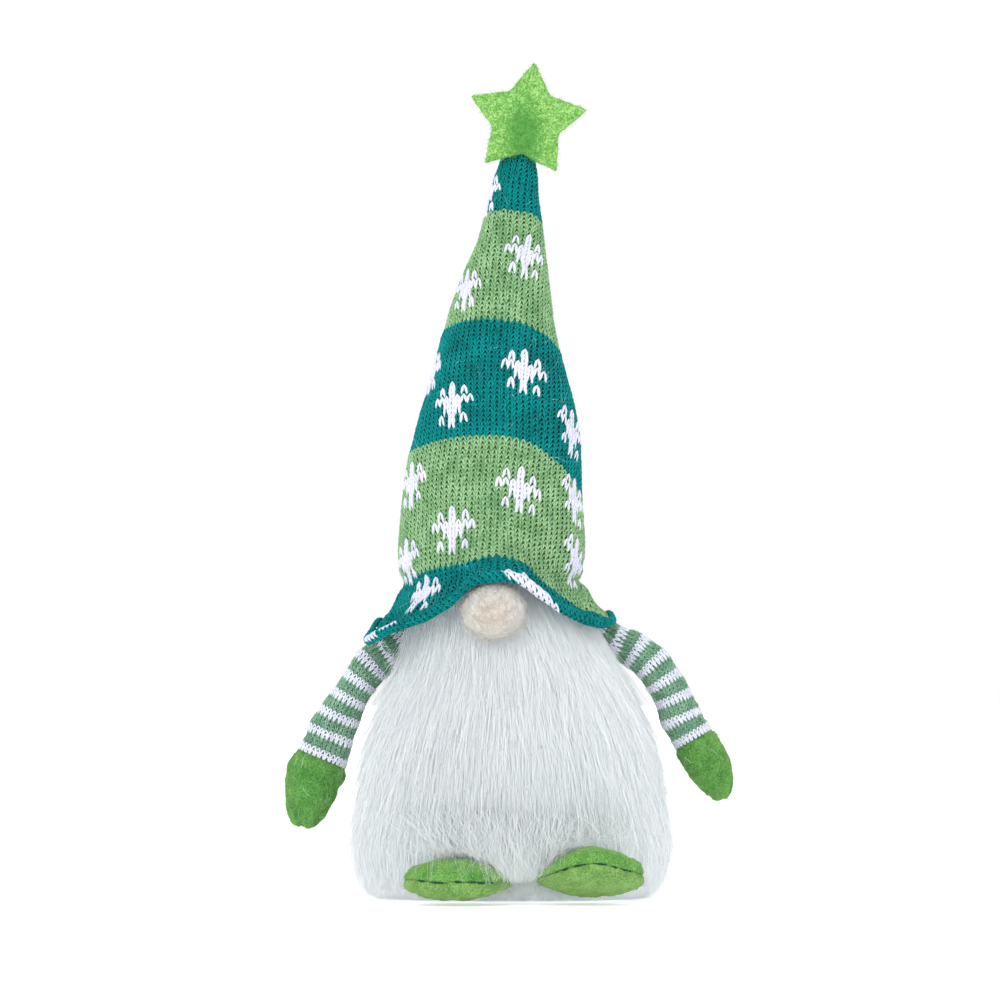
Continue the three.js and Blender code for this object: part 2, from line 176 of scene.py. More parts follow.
def outward(v, faces):
    """Faces turned to face out, by the volume they close."""
    v = np.asarray(v).reshape(-1, 3)
    vol = 0.0
    for f in faces:
        for k in range(1, f.shape[1] - 1):
            vol += np.einsum("ij,ij->", v[f[:, 0]], np.cross(v[f[:, k]], v[f[:, k + 1]]))
    return faces if vol > 0 else [f[:, ::-1] for f in faces]


class Surf:
    """A grid of points (rows, columns, 3), closed round its columns, read at fractions of a row and column."""

    def __init__(self, p, centre=None):
        self.p = p
        dv = np.gradient(p, axis=0)
        du = (np.roll(p, -1, 1) - np.roll(p, 1, 1)) / 2
        n = unit(np.cross(dv, du))
        mid = p.mean(1, keepdims=True) if centre is None else centre
        if (n * (p - mid)).sum() < 0:
            n = -n
        self.n = n

    def __call__(self, r, c):
        rows, cols = self.p.shape[:2]
        r = np.clip(r, 0, rows - 1.001)
        i, f = np.floor(r).astype(int), (r - np.floor(r))[..., None]
        c = c % cols
        j, g = np.floor(c).astype(int) % cols, (c - np.floor(c))[..., None]
        j2 = (j + 1) % cols

        def mix(a):
            return (a[i, j] * (1 - g) + a[i, j2] * g) * (1 - f) + (a[i + 1, j] * (1 - g) + a[i + 1, j2] * g) * f

        return mix(self.p), unit(mix(self.n))


def sample(v, faces, n, seed, keep=None):
    """n random points on the faces, by area, with the face normals."""
    r = np.random.default_rng(seed)
    v = np.asarray(v).reshape(-1, 3)
    tri = []
    for f in faces:
        for k in range(1, f.shape[1] - 1):
            tri.append(f[:, [0, k, k + 1]])
    tri = np.concatenate(tri)
    a, b, c = v[tri[:, 0]], v[tri[:, 1]], v[tri[:, 2]]
    cr = np.cross(b - a, c - a)
    area = np.linalg.norm(cr, axis=1)
    if keep is not None:
        area = area * keep((a + b + c) / 3, unit(cr))
    pick = r.choice(len(tri), n, p=area / area.sum())
    u, w = r.random((2, n, 1))
    over = u + w > 1
    u, w = np.where(over, 1 - u, u), np.where(over, 1 - w, w)
    return a[pick] + u * (b[pick] - a[pick]) + w * (c[pick] - a[pick]), unit(cr[pick])


def fuzz(v, faces, n, seed, length=(0.8, 2.4), lift=(0.05, 0.5), radius=0.07, keep=None, sink=0.15, along=None):
    """Short curved fibres that lie on a surface and stand off it a little."""
    r = np.random.default_rng(seed)
    p, nn = sample(v, faces, n, seed + 1, keep)
    d = r.normal(size=p.shape)
    if along is not None:
        d = d * 0.35 + along
    d = unit(d - (d * nn).sum(-1, keepdims=True) * nn)
    side = np.cross(nn, d)
    ln = r.uniform(*length, (n, 1))
    up = r.uniform(*lift, (n, 1))
    bend = r.normal(0, 0.35, (n, 1))
    q = np.linspace(0, 1, 4)[None, :, None]
    c = (
        p[:, None]
        - nn[:, None] * sink
        + d[:, None] * (ln[:, None] * q)
        + side[:, None] * (bend * ln)[:, None] * q * q
        + nn[:, None] * (up * ln)[:, None] * (1.6 * q - 0.9 * q * q)
    )
    c[..., 2] = np.maximum(c[..., 2], 0.3)
    w = radius * np.array([1, 1, 0.75, 0.25])[None, :] * r.uniform(0.7, 1.25, (n, 1))
    return tubes(c, nn[:, None] + 0 * c, w, w, 3)


def puff(p, pinned, cap, pressure=4.0, grow=0.03, frames=20, seed=0, bend=0.5):
    """Cloth simulation of a closed grid (rows, columns, 3) in mm: pressure inside, pinned points held, and
    no point moves further than cap."""
    rows, cols = p.shape[:2]
    me = bpy.data.meshes.new("sim")
    v = p.reshape(-1, 3) * 0.001
    faces = outward(v, grid_faces(rows, cols))
    me.from_pydata(v.tolist(), [], [f for g in faces for f in g.tolist()])
    o = bpy.data.objects.new("sim", me)
    bpy.context.scene.collection.objects.link(o)
    g = o.vertex_groups.new(name="pin")
    for i in np.flatnonzero(pinned.reshape(-1)):
        g.add([int(i)], 1.0, "REPLACE")
    m = o.modifiers.new("cloth", "CLOTH")
    s = m.settings
    s.quality = 5
    s.mass = 0.2
    s.tension_stiffness = s.compression_stiffness = 8
    s.shear_stiffness = 4
    s.bending_stiffness = bend
    s.use_pressure = True
    s.uniform_pressure_force = pressure
    s.vertex_group_mass = "pin"
    s.shrink_min = -grow
    s.effector_weights.gravity = 0
    m.point_cache.frame_start, m.point_cache.frame_end = 1, frames
    sc = bpy.context.scene
    for f in range(1, frames + 1):
        sc.frame_set(f)
    ev = o.evaluated_get(bpy.context.evaluated_depsgraph_get())
    co = np.zeros(len(me.vertices) * 3, np.float32)
    ev.data.vertices.foreach_get("co", co)
    bpy.data.objects.remove(o)
    bpy.data.meshes.remove(me)
    sc.frame_set(1)
    move = co.reshape(rows, cols, 3).astype(float) * 1000 - p
    move[~np.isfinite(move)] = 0
    ln = np.linalg.norm(move, axis=-1, keepdims=True)
    move = move * np.minimum(1, cap / np.maximum(ln, 1e-6))
    move[pinned] = 0
    return p + move


# ---------------------------------------------------------------- materials
def srgb(r, g, b):
    return tuple(((c / 255) / 12.92 if c <= 10 else ((c / 255 + 0.055) / 1.055) ** 2.4) for c in (r, g, b)) + (1.0,)


def material(name, colours, sizes=(9, 0.9), rough=0.9, sheen=0.0, bump=0.0, bump_size=0.5, specular=0.3, weave=None, stretch=(1, 1, 1), contrast=1.0, tint=None, patch=None, glow=None):
    """Cloth, wool or felt: a soft mottle between colours at two sizes in mm, and a fine bump. glow is an emission: on
    the fur and pile it is painted light, standing for the light that white pile passes on from hair to hair; on the
    floor it keeps the backdrop evenly bright."""
    m = bpy.data.materials.new(name)
    m.use_nodes = True
    t = m.node_tree
    b = t.nodes["Principled BSDF"]
    b.inputs["Specular IOR Level"].default_value = specular
    if sheen:
        b.inputs["Sheen Weight"].default_value = sheen
        b.inputs["Sheen Roughness"].default_value = 0.45
        b.inputs["Sheen Tint"].default_value = tint or colours[-1]
    if glow:
        b.inputs["Emission Color"].default_value = glow[0]
        b.inputs["Emission Strength"].default_value = glow[1]
    co = t.nodes.new("ShaderNodeTexCoord")
    mp = t.nodes.new("ShaderNodeMapping")
    mp.inputs["Scale"].default_value = [1000 * s for s in stretch]
    t.links.new(co.outputs["Object"], mp.inputs["Vector"])
    vec = mp.outputs["Vector"]

    def noise(size, detail=3.0):
        n = t.nodes.new("ShaderNodeTexNoise")
        n.inputs["Scale"].default_value = 1 / size
        n.inputs["Detail"].default_value = detail
        t.links.new(vec, n.inputs["Vector"])
        return n.outputs["Fac"]

    big, small = noise(sizes[0]), noise(sizes[1], 4.0)
    add = t.nodes.new("ShaderNodeMath")
    add.operation = "MULTIPLY_ADD"
    t.links.new(big, add.inputs[0])
    add.inputs[1].default_value = 0.5
    t.links.new(small, add.inputs[2])
    ramp = t.nodes.new("ShaderNodeValToRGB")
    lo, hi = 0.75 - 0.17 / contrast, 0.75 + 0.17 / contrast
    els = ramp.color_ramp.elements
    for i, c in enumerate(colours):
        x = lo + (hi - lo) * i / (len(colours) - 1)
        e = els[i] if i < 2 else els.new(x)
        e.position, e.color = x, c
    els_sorted = sorted(zip([lo + (hi - lo) * i / (len(colours) - 1) for i in range(len(colours))], colours))
    for e, (x, c) in zip(ramp.color_ramp.elements, els_sorted):
        e.position, e.color = x, c
    t.links.new(add.outputs[0], ramp.inputs["Fac"])
    colour_out = ramp.outputs["Color"]
    if patch:  # a darker patch (on the star, painted shade where the hat's tip behind it shows through the felt; on the nose, its own tint): its middle, half-sizes in mm, colour and strength
        prev = mp.outputs["Vector"]
        for op, val in (("SUBTRACT", patch[0]), ("DIVIDE", patch[1])):
            vm = t.nodes.new("ShaderNodeVectorMath")
            vm.operation = op
            t.links.new(prev, vm.inputs[0])
            vm.inputs[1].default_value = val
            prev = vm.outputs["Vector"]
        vl = t.nodes.new("ShaderNodeVectorMath")
        vl.operation = "LENGTH"
        t.links.new(prev, vl.inputs[0])
        ragged = t.nodes.new("ShaderNodeMath")
        ragged.operation = "MULTIPLY_ADD"
        t.links.new(small, ragged.inputs[0])
        ragged.inputs[1].default_value = 0.7
        t.links.new(vl.outputs["Value"], ragged.inputs[2])
        mr = t.nodes.new("ShaderNodeMapRange")
        mr.interpolation_type = "SMOOTHSTEP"
        mr.inputs["From Min"].default_value, mr.inputs["From Max"].default_value = 0.75, 1.55
        mr.inputs["To Min"].default_value, mr.inputs["To Max"].default_value = patch[3], 0.0
        t.links.new(ragged.outputs[0], mr.inputs["Value"])
        mx = t.nodes.new("ShaderNodeMix")
        mx.data_type = "RGBA"
        t.links.new(mr.outputs["Result"], mx.inputs[0])
        t.links.new(colour_out, mx.inputs[6])
        mx.inputs[7].default_value = patch[2]
        colour_out = mx.outputs[2]
    t.links.new(colour_out, b.inputs["Base Color"])
    rr = t.nodes.new("ShaderNodeMapRange")
    rr.inputs["To Min"].default_value, rr.inputs["To Max"].default_value = rough - 0.08, min(rough + 0.08, 1)
    t.links.new(small, rr.inputs["Value"])
    t.links.new(rr.outputs["Result"], b.inputs["Roughness"])
    if bump:
        h = noise(bump_size, 5.0)
        if weave:
            wv = []
            for axis in (0, 1):
                w = t.nodes.new("ShaderNodeTexWave")
                w.bands_direction = ("X", "Z")[axis]
                w.inputs["Scale"].default_value = 1 / weave * 0.32
                w.inputs["Distortion"].default_value = 0.6
                t.links.new(vec, w.inputs["Vector"])
                wv.append(w.outputs["Fac"])
            mul = t.nodes.new("ShaderNodeMath")
            mul.operation = "ADD"
            t.links.new(wv[0], mul.inputs[0])
            t.links.new(wv[1], mul.inputs[1])
            ad = t.nodes.new("ShaderNodeMath")
            ad.operation = "ADD"
            t.links.new(mul.outputs[0], ad.inputs[0])
            t.links.new(h, ad.inputs[1])
            h = ad.outputs[0]
        bm = t.nodes.new("ShaderNodeBump")
        bm.inputs["Strength"].default_value = bump
        bm.inputs["Distance"].default_value = 0.0006
        t.links.new(h, bm.inputs["Height"])
        t.links.new(bm.outputs["Normal"], b.inputs["Normal"])
    return m


# painted shade: the star felt and its fibres are darkened in the middle, where the hat's tip behind the star shows
# through the felt
STAR_PAINTED_SHADE = ((7.4, 49.0, 366.5), (10.5, 400.0, 19.0), srgb(78, 146, 62), 0.9)
NOSE_PATCH = ((-7.4, -29.0, 134.5), (9.5, 400.0, 8.0), srgb(212, 198, 184), 0.6)
# painted light: the fur, fur base, plush and pile glow a little with this colour, in place of the light passed on from
# hair to hair
PILE_LIGHT = (0.78, 0.98, 1.0, 1.0)
M = {
    "teal_yarn": material("teal_yarn", [srgb(0, 96, 97), srgb(0, 122, 122), srgb(0, 144, 143)], (14, 0.8), 0.9, 0.08, 0.35, 0.35, specular=0.14, contrast=1.1, tint=srgb(0, 190, 185)),
    # teal_base and green_base: the yarn's own colours made darker, as painted shade for the depth between the loops
    "teal_base": material("teal_base", [srgb(0, 80, 79), srgb(0, 104, 102)], (9, 1.0), 0.95, 0.05, 0.4, 0.5, specular=0.1, tint=srgb(0, 190, 185)),
    "green_yarn": material("green_yarn", [srgb(98, 146, 96), srgb(126, 168, 118), srgb(154, 192, 144)], (9, 0.9), 0.88, 0.2, 0.35, 0.35, specular=0.2, contrast=1.5, tint=srgb(200, 235, 190)),
    "green_base": material("green_base", [srgb(78, 124, 78), srgb(100, 146, 94)], (9, 1.0), 0.95, 0.1, 0.4, 0.5, specular=0.15),
    "white_yarn": material("white_yarn", [srgb(206, 208, 225), srgb(228, 229, 241)], (9, 0.9), 0.88, 0.15, 0.4, 0.35, specular=0.2, tint=srgb(255, 255, 255)),
    "stray": material("stray", [srgb(150, 196, 180), srgb(226, 234, 236)], (30, 2), 0.8, 0.0),
    "sage_yarn": material("sage_yarn", [srgb(84, 134, 104), srgb(114, 158, 128), srgb(138, 177, 149)], (7, 0.8), 0.88, 0.2, 0.3, 0.3, specular=0.2, contrast=1.3, tint=srgb(210, 235, 215)),
    "sleeve_white": material("sleeve_white", [srgb(204, 209, 222), srgb(228, 230, 240)], (7, 0.8), 0.88, 0.15, 0.3, 0.3, specular=0.2, tint=srgb(255, 255, 255)),
    # sleeve_base: the cloth under the sleeve's loops, darker than the yarn as painted shade between them
    "sleeve_base": material("sleeve_base", [srgb(84, 112, 98), srgb(122, 144, 134)], (5, 0.8), 0.95, 0.1, 0.4, 0.5),
    "star_felt": material("star_felt", [srgb(92, 156, 68), srgb(126, 182, 92), srgb(160, 208, 122)], (3.4, 0.9), 0.95, 0.3, 0.9, 0.5, specular=0.2, contrast=1.4, tint=srgb(215, 245, 185), patch=STAR_PAINTED_SHADE),
    "star_fibre": material("star_fibre", [srgb(124, 182, 92), srgb(164, 214, 128)], (3, 0.9), 0.9, 0.1, patch=STAR_PAINTED_SHADE),
    "felt": material("felt", [srgb(56, 112, 50), srgb(80, 138, 64), srgb(108, 162, 82)], (8, 0.8), 0.95, 0.45, 0.8, 0.45, specular=0.2, contrast=1.2, tint=srgb(190, 230, 140)),
    "felt_fibre": material("felt_fibre", [srgb(84, 142, 66), srgb(132, 184, 100)], (5, 0.8), 0.9, 0.2),
    "foot": material("foot", [srgb(66, 122, 52), srgb(92, 146, 68), srgb(120, 170, 88)], (8, 0.8), 0.95, 0.3, 0.7, 0.45, specular=0.2, contrast=1.2, tint=srgb(200, 235, 150)),
    "sole": material("sole", [srgb(82, 128, 62), srgb(106, 148, 78), srgb(130, 170, 94)], (8, 0.8), 0.95, 0.35, 0.7, 0.45, specular=0.2, contrast=1.2, tint=srgb(215, 240, 160)),
    "sole_fibre": material("sole_fibre", [srgb(104, 148, 78), srgb(144, 182, 108)], (5, 0.8), 0.9, 0.15),
    "foot_fibre": material("foot_fibre", [srgb(92, 148, 66), srgb(132, 182, 94)], (5, 0.8), 0.9, 0.1),
    "seam_thread": material("seam_thread", [srgb(10, 66, 44), srgb(18, 92, 58)], (3, 0.5), 0.7, 0.0, 0.3, 0.2),
    "nose": material("nose", [srgb(203, 199, 193), srgb(212, 210, 205), srgb(220, 218, 213)], (7, 0.9), 0.95, 0.2, 0.5, 0.5, specular=0.2, tint=srgb(255, 252, 248), patch=NOSE_PATCH),
    "nose_fibre": material("nose_fibre", [srgb(210, 205, 198), srgb(224, 222, 217)], (8, 0.9), 0.9, 0.1, specular=0.2, patch=NOSE_PATCH),
    "fur": material("fur", [srgb(247, 250, 252), srgb(252, 254, 255)], (16, 1.5), 0.6, 0.6, specular=0.35, tint=srgb(245, 252, 255), glow=(PILE_LIGHT, 0.03)),
    "fur_base": material("fur_base", [srgb(240, 245, 247), srgb(249, 251, 252)], (8, 1.0), 0.9, 0.4, 0.3, 0.7, stretch=(1, 1, 0.15), tint=srgb(245, 252, 255), glow=(PILE_LIGHT, 0.05)),
    "plush": material("plush", [srgb(236, 240, 242), srgb(247, 249, 250)], (12, 0.9), 0.9, 0.4, 0.5, 0.6, tint=srgb(255, 255, 255), glow=(PILE_LIGHT, 0.04)),
    "plush_pile": material("plush_pile", [srgb(240, 244, 246), srgb(250, 252, 253)], (12, 1.2), 0.85, 0.35, specular=0.1, tint=srgb(255, 255, 255), glow=(PILE_LIGHT, 0.03)),
    "base_cloth": material("base_cloth", [srgb(214, 218, 220), srgb(236, 238, 240)], (10, 0.7), 0.95, 0.1, 0.6, 0.5, weave=0.7),
    "board": material("board", [srgb(150, 124, 92), srgb(178, 150, 114)], (6, 0.6), 0.85, 0.0, 0.5, 0.5),
    "pouch": material("pouch", [srgb(206, 206, 200), srgb(228, 228, 222)], (6, 0.7), 0.95, 0.0, 0.6, 0.5, weave=0.6),
    "white_thread": material("white_thread", [srgb(214, 218, 222), srgb(238, 240, 242)], (2, 0.4), 0.7, 0.0, 0.3, 0.2),
}


# ---------------------------------------------------------------- hat
HAT = [[110, -9, 42], [151, -9, 42.3], [159, -8.6, 44.2], [174, -7.9, 44.6], [189, -7.6, 43.4], [205, -6.9, 41.7], [220, -5.5, 39.3], [236, -5.2, 36.7], [251, -4.8, 33.4], [266, -3.8, 29.6], [277, -2.9, 26.8], [289, -2.1, 24.6], [304, -0.7, 20.9], [316, 0.7, 17.6], [328, 1.4, 15.3], [342, 2.1, 12.8], [354, 3.3, 9.8], [364, 5, 8.6], [373, 6.5, 7.6], [379, 7.4, 6.3], [382.5, 8, 4.2], [384, 8.2, 1.5]]
BRIM = [[-180, 55, 124], [-151, 54.5, 125], [-122, 53.5, 128], [-98, 52.5, 132.6], [-84, 55.5, 127.6], [-70, 60, 123.3], [-48, 59.5, 129.3], [-31, 58.5, 134.3], [-18, 60, 140.6], [-5, 63.5, 151], [12, 63.5, 151.8], [24, 61.5, 144], [38, 60, 136.5], [58, 59.7, 131.5], [78, 59.2, 132.5], [98, 57, 136], [120, 59, 131.5], [145, 58.5, 126], [180, 55, 124]]
ROLL_R = 2.3


def hat_y(z):
    return 2 + 36 * np.maximum((z - 151) / 229, 0) ** 1.15


def hat_point(t, a, inset=0.0):
    t, a = np.broadcast_arrays(np.asarray(t, float), np.asarray(a, float))
    edge = at(BRIM, (np.degrees(a) + 180) % 360 - 180)
    z = 384 - (384 - edge[..., 1]) * t
    h = at(HAT, z)
    flare = (1 - np.clip((z - edge[..., 1]) / 26, 0, 1)) ** 1.9
    r = np.maximum(h[..., 1] + (edge[..., 0] - h[..., 1]) * flare - inset, 0.4)
    ry = r * (1 - 0.02 * np.cos(a) ** 2)
    return np.stack([h[..., 0] + r * np.sin(a), hat_y(z) - ry * np.cos(a), z], -1)


WALE, COURSE = 3.25, 2.3
# how much a course is tilted: angle from the front, share of the length down that side
TILT = [[-180, 0.95], [-130, 0.955], [-82, 0.968], [-40, 0.987], [0, 1], [22, 0.993], [48, 0.955], [82, 0.905], [125, 0.9], [155, 0.925], [180, 0.95]]
_t = np.linspace(0, 1, 601)
_az = np.linspace(-PI, PI, 193)
_len = hat_point(_t[:, None], _az[None, :])
_len = np.concatenate([np.zeros((1, len(_az))), np.cumsum(np.linalg.norm(np.diff(_len, axis=0), axis=-1), axis=0)])
_ease = np.clip((_t - 0.3) / 0.4, 0, 1)[:, None]
_len = _len * (1 - (1 - at(TILT, np.degrees(_az))[..., 0]) * (0.5 + 0.5 * _ease * _ease * (3 - 2 * _ease))) / COURSE  # the course at each (t, angle)
EDGE_ROW = _len[-1]
NC = int(np.ceil(EDGE_ROW.max()))
_t_at = np.array([np.interp(np.arange(NC + 3), _len[:, k], _t) for k in range(len(_az))]).T


def bilinear(table, r, c):
    r = np.clip(r, 0, table.shape[0] - 1.001)
    c = np.clip(c, 0, table.shape[1] - 1.001)
    i, j = np.floor(r).astype(int), np.floor(c).astype(int)
    f, g = r - i, c - j
    return (table[i, j] * (1 - g) + table[i, j + 1] * g) * (1 - f) + (table[i + 1, j] * (1 - g) + table[i + 1, j + 1] * g) * f


def az_col(a):
    return (np.asarray(a, float) + PI) / (2 * PI) * (len(_az) - 1)


def row_at(t, a):
    return bilinear(_len, np.asarray(t, float) * 600, az_col(a))


def t_at(row, a):
    return bilinear(_t_at, row, az_col(a))


def hat_r(row):
    """The radius that sets how many wales there are: without the flare, so the wales spread at the brim."""
    t = t_at(row, 0.0)
    return np.maximum(at(HAT, 384 - 233 * t)[..., 1], 1.2)


NR = 112  # rows of the surface grid, even in t
COLS = 96
_a = -PI + 2 * PI * np.arange(COLS) / COLS
_rows = np.arange(NR + 1)
hat_grid = hat_point((_rows / NR)[:, None], _a[None, :], 1.5)
pin = np.zeros((NR + 1, COLS), bool)
pin[-3:] = pin[:3] = True
hat_grid = puff(hat_grid, pin, 1.6, pressure=1.2, grow=0.035, seed=1, bend=0.2)
# soft dents and slack, less at the tip and none at the brim
env = np.clip((_rows - 6) / 20, 0, 1) * np.clip((NR - _rows) / 12, 0, 1)
rad = np.stack([np.sin(_a), -np.cos(_a), 0 * _a], -1)[None]
hat_grid = hat_grid + rad * (wobble(hat_grid * [1, 1, 0.45], 34, 11) * 0.9 * env[:, None])[..., None]
hat_grid = hat_grid - rad * (1.3 * np.exp(-(((_rows - (NR - 3.0)) / 1.4) ** 2)))[:, None, None]
hat = Surf(hat_grid)


def hat_at(row, wale):
    """Surface point and normal at a course and a wale counted from the front."""
    a = wale * WALE / hat_r(row)
    return hat(t_at(row, a) * NR, (a + PI) / (2 * PI) * COLS)


BANDS = [float(row_at(t, 0.0)) for t in (0.225, 0.461, 0.699, 0.953)]


def is_teal(row):
    b = BANDS
    return (row < b[0]) | ((row >= b[1]) & (row < b[2])) | (row >= b[3])


FLAKE = ["...X...", ".X.X.X.", "...X...", "XXXXXXX", "..XXX..", "..XXX..", "...X...", ".X.X.X.", "...X..."]
# the middle of each snowflake on the front: its course down from the tip, and its wale from the middle
flakes = [(36, 3), (44, -7), (62, 4), (70, -7), (61, -14), (68, 13), (88, 4), (97, -6), (85, -15), (81, 15), (93, 16), (101, -16), (110, -11), (113, 4), (22, -6)]
# the same two staggered rows of each band go on round the back
PERIOD = 19
for row, wale in list(flakes):
    for k in (-3, -2, -1, 1, 2, 3):
        w = wale + k * PERIOD
        if abs(w) * WALE / float(hat_r(row)) > PI - 0.05 or abs(w) * WALE / float(hat_r(row)) < 1.75:
            continue
        round_it = 2 * PI * float(hat_r(row)) / WALE
        if all(min(abs(w - x), abs(round_it - abs(w - x))) > 8 or abs(row - y) > 10 for y, x in flakes):
            flakes.append((row, w))
white_cells = set()
for row, wale in flakes:
    for dy, line in enumerate(FLAKE):
        for dx, ch in enumerate(line):
            if ch == "X":
                white_cells.add((row + dy - 5, wale + dx - 3))

# one stitch: across in wales, down in courses, height in mm; both legs and the loop's rounded top
STITCH = np.array([[-0.47, 1.75, -0.5], [-0.44, 1.35, 0.0], [-0.37, 0.85, 0.38], [-0.26, 0.3, 0.55], [0, -0.12, 0.5], [0.26, 0.3, 0.55], [0.37, 0.85, 0.38], [0.44, 1.35, 0.0], [0.47, 1.75, -0.5]])
STITCH_W = np.array([0.28, 0.46, 0.56, 0.56, 0.5, 0.56, 0.56, 0.46, 0.28])


def stitches(surf_at, cells, seed, size=1.0, tall=1.0, raise_by=0.0, wide=1.0, k=5):
    """Yarn loops on a surface: surf_at(row, wale) gives point and normal; cells is (n, 2) of row and wale."""
    r = np.random.default_rng(seed)
    cells = np.asarray(cells, float)
    n = len(cells)
    jit = r.normal(0, 1, (n, 4))
    across = STITCH[None, :, 0] * wide * (1 + 0.05 * jit[:, :1]) + 0.03 * jit[:, 1:2]
    down = STITCH[None, :, 1] * tall * (1 + 0.05 * jit[:, 2:3])
    p, nn = surf_at(cells[:, :1] + down, cells[:, 1:] + across)
    c = p + nn * (STITCH[None, :, 2] * size + raise_by + 0.06 * jit[:, 3:4])[..., None]
    w = STITCH_W[None, :] * size * (1 + 0.07 * r.normal(0, 1, (n, 1)))
    return tubes(c, nn, w, w * 0.82, k)


teal, green, white = [], [], []
for j in range(2, NC):
    side = int((PI * float(hat_r(j + 0.6)) - 0.6) / WALE)
    for i in range(-side, side + 1):
        if j + 0.2 > np.interp(i * WALE / float(hat_r(j)), _az, EDGE_ROW):
            continue
        if (j, i) in white_cells:
            white.append((j, i))
        elif is_teal(j):
            teal.append((j, i))
        else:
            green.append((j, i))


ROLL_WALE = 2.2


def roll_r(a):
    side = np.exp(-(((np.abs(np.degrees(a)) - 90) / 22) ** 2))
    return ROLL_R * (1.08 - 0.4 * side) + 0.12 * np.sin(9 * a) + 0.1 * np.sin(23 * a + 1)


def roll_at(row, wale):
    """The curled edge: rows go round the roll from its top to its underside."""
    a = (wale * ROLL_WALE + row * 1.1) / 44.0
    phi = np.radians(118 - row * 52)
    c = hat_point(1.0, a, -0.5)
    out = np.stack([np.sin(a), -np.cos(a), 0 * a], -1)
    up = np.array([0, 0, 1.0])
    n = out * np.cos(phi)[..., None] + up * np.sin(phi)[..., None]
    return c + n * (roll_r(a) - 0.55)[..., None], n


roll_side = int(PI * 44.0 / ROLL_WALE)
roll_cells = [(r - 0.4, i) for r in range(0, 5) for i in range(-roll_side, roll_side + 1)]


def roll_white(row, i):
    a = math.degrees(i * ROLL_WALE / 44.0)
    lo = 3 + 1.2 * row
    return (lo < a < 23 + 1.2 * row) or (-74 < a < -62 and row < 3) or (-58 < a < -47 and row < 2) or (104 < abs(a) < 124 and 1 <= row < 3)


roll_w = [c for c in roll_cells if roll_white(c[0] + 0.4, c[1])]
roll_t = [c for c in roll_cells if not roll_white(c[0] + 0.4, c[1])]


def fixed(o, body, slot, *nodes):
    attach(o, body)
    if nodes:
        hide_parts(*nodes)
    return o


v, f = join([stitches(hat_at, teal, 21), stitches(roll_at, roll_t, 22, 0.8, 0.95)])
fixed(build("hat_yarn_teal", v, f, M["teal_yarn"]), "root", "hat_knit")
v, f = stitches(hat_at, green, 23)
fixed(build("hat_yarn_green", v, f, M["green_yarn"]), "root", "hat_knit")
v, f = join([stitches(hat_at, white, 24, 1.36, 1.38, 0.22, 0.95), stitches(roll_at, roll_w, 25, 0.92, 1.0, 0.12)])
fixed(build("hat_yarn_white", v, f, M["white_yarn"]), "root", "hat_knit")

# the cloth behind the loops: one closed shell, outside and lining, with the curled edge's core. Its colours are the
# yarn's own made darker, as painted shade for the depth between the loops.
outer = hat.p - hat.n * 0.55
inner = hat.p - hat.n * 1.5
rows2 = np.concatenate([outer, inner[::-1]])
V = rows2.reshape(-1, 3)
F = outward(V, grid_faces(len(rows2), COLS))
shell = build("hat_shell", V, F, [M["teal_base"], M["green_base"]])
idx = np.zeros(len(shell.data.polygons), np.int32)
per = np.repeat(np.arange(len(rows2) - 1), COLS)
row_here = np.where(per <= NR, per, 2 * NR + 1 - per)
idx[: len(per)] = np.where(is_teal(row_at(np.clip(row_here / NR, 0, 1), np.tile(_a, len(rows2) - 1))), 0, 1)
# validate() and the volume test keep the order: quads first, then the two end caps
shell.data.polygons.foreach_set("material_index", idx)
fixed(shell, "root", "hat_knit", "hat_knit", "hat_filling")
ra = np.linspace(-PI, PI, 180, endpoint=False)
ring = hat_point(1.0, ra, -0.5)
th = np.linspace(0, 2 * PI, 10, endpoint=False)
out = np.stack([np.sin(ra), -np.cos(ra), 0 * ra], -1)
core = ring[:, None] + (roll_r(ra) - 0.75)[:, None, None] * (np.cos(th)[None, :, None] * out[:, None] + np.sin(th)[None, :, None] * np.array([0, 0, 1.0]))
i, j = np.meshgrid(np.arange(180), np.arange(10), indexing="ij")
F = [np.stack([i * 10 + j, ((i + 1) % 180) * 10 + j, ((i + 1) % 180) * 10 + (j + 1) % 10, i * 10 + (j + 1) % 10], -1).reshape(-1, 4)]
fixed(build("hat_roll_core", core.reshape(-1, 3), outward(core.reshape(-1, 3), F), M["teal_base"]), "root", "hat_knit")

# the seam down the back: a raised fold of knitting sewn over and over
rows = np.arange(4, NR - 0.5, 0.25)
p, n = hat(rows, np.zeros_like(rows))
c = (p + n * 0.35)[None]
side_v = np.cross(unit(np.gradient(p, axis=0)), n)
seam = [tubes(c + s * side_v[None] * 0.75, n[None], 0.85, 0.7, 8) for s in (-1, 1)]
v, f = join(seam)
fixed(build("hat_back_seam", v, f, M["teal_base"]), "root", "hat_knit")
k = np.arange(5, NR - 2, 1.35)
p, n = hat(k, np.zeros_like(k))
sv = unit(np.cross(unit(np.gradient(p, axis=0)), n))
dn = np.cross(n, sv)
q = np.linspace(-1, 1, 5)[None, :, None]
c = p[:, None] + sv[:, None] * 1.7 * q + dn[:, None] * 0.8 * q + n[:, None] * (1.25 - 1.1 * q * q)
v, f = tubes(c, n[:, None] + 0 * c, 0.3, 0.26, 5)
fixed(build("hat_seam_thread", v, f, M["teal_yarn"]), "root", "hat_knit")

# stray wool fibres
gv, gf = hat.p.reshape(-1, 3), outward(hat.p.reshape(-1, 3), grid_faces(NR + 1, COLS))[:1]
front_rows = lambda p, n: (p[:, 2] < 376) * 1.0
v, f = fuzz(gv, gf, 260, 31, (3.0, 9.0), (0.2, 0.7), 0.045, keep=lambda p, n: (p[:, 2] < 366) * 1.0, sink=-0.3)
fixed(build("hat_stray_fibres", v, f, M["stray"]), "root", "hat_knit")


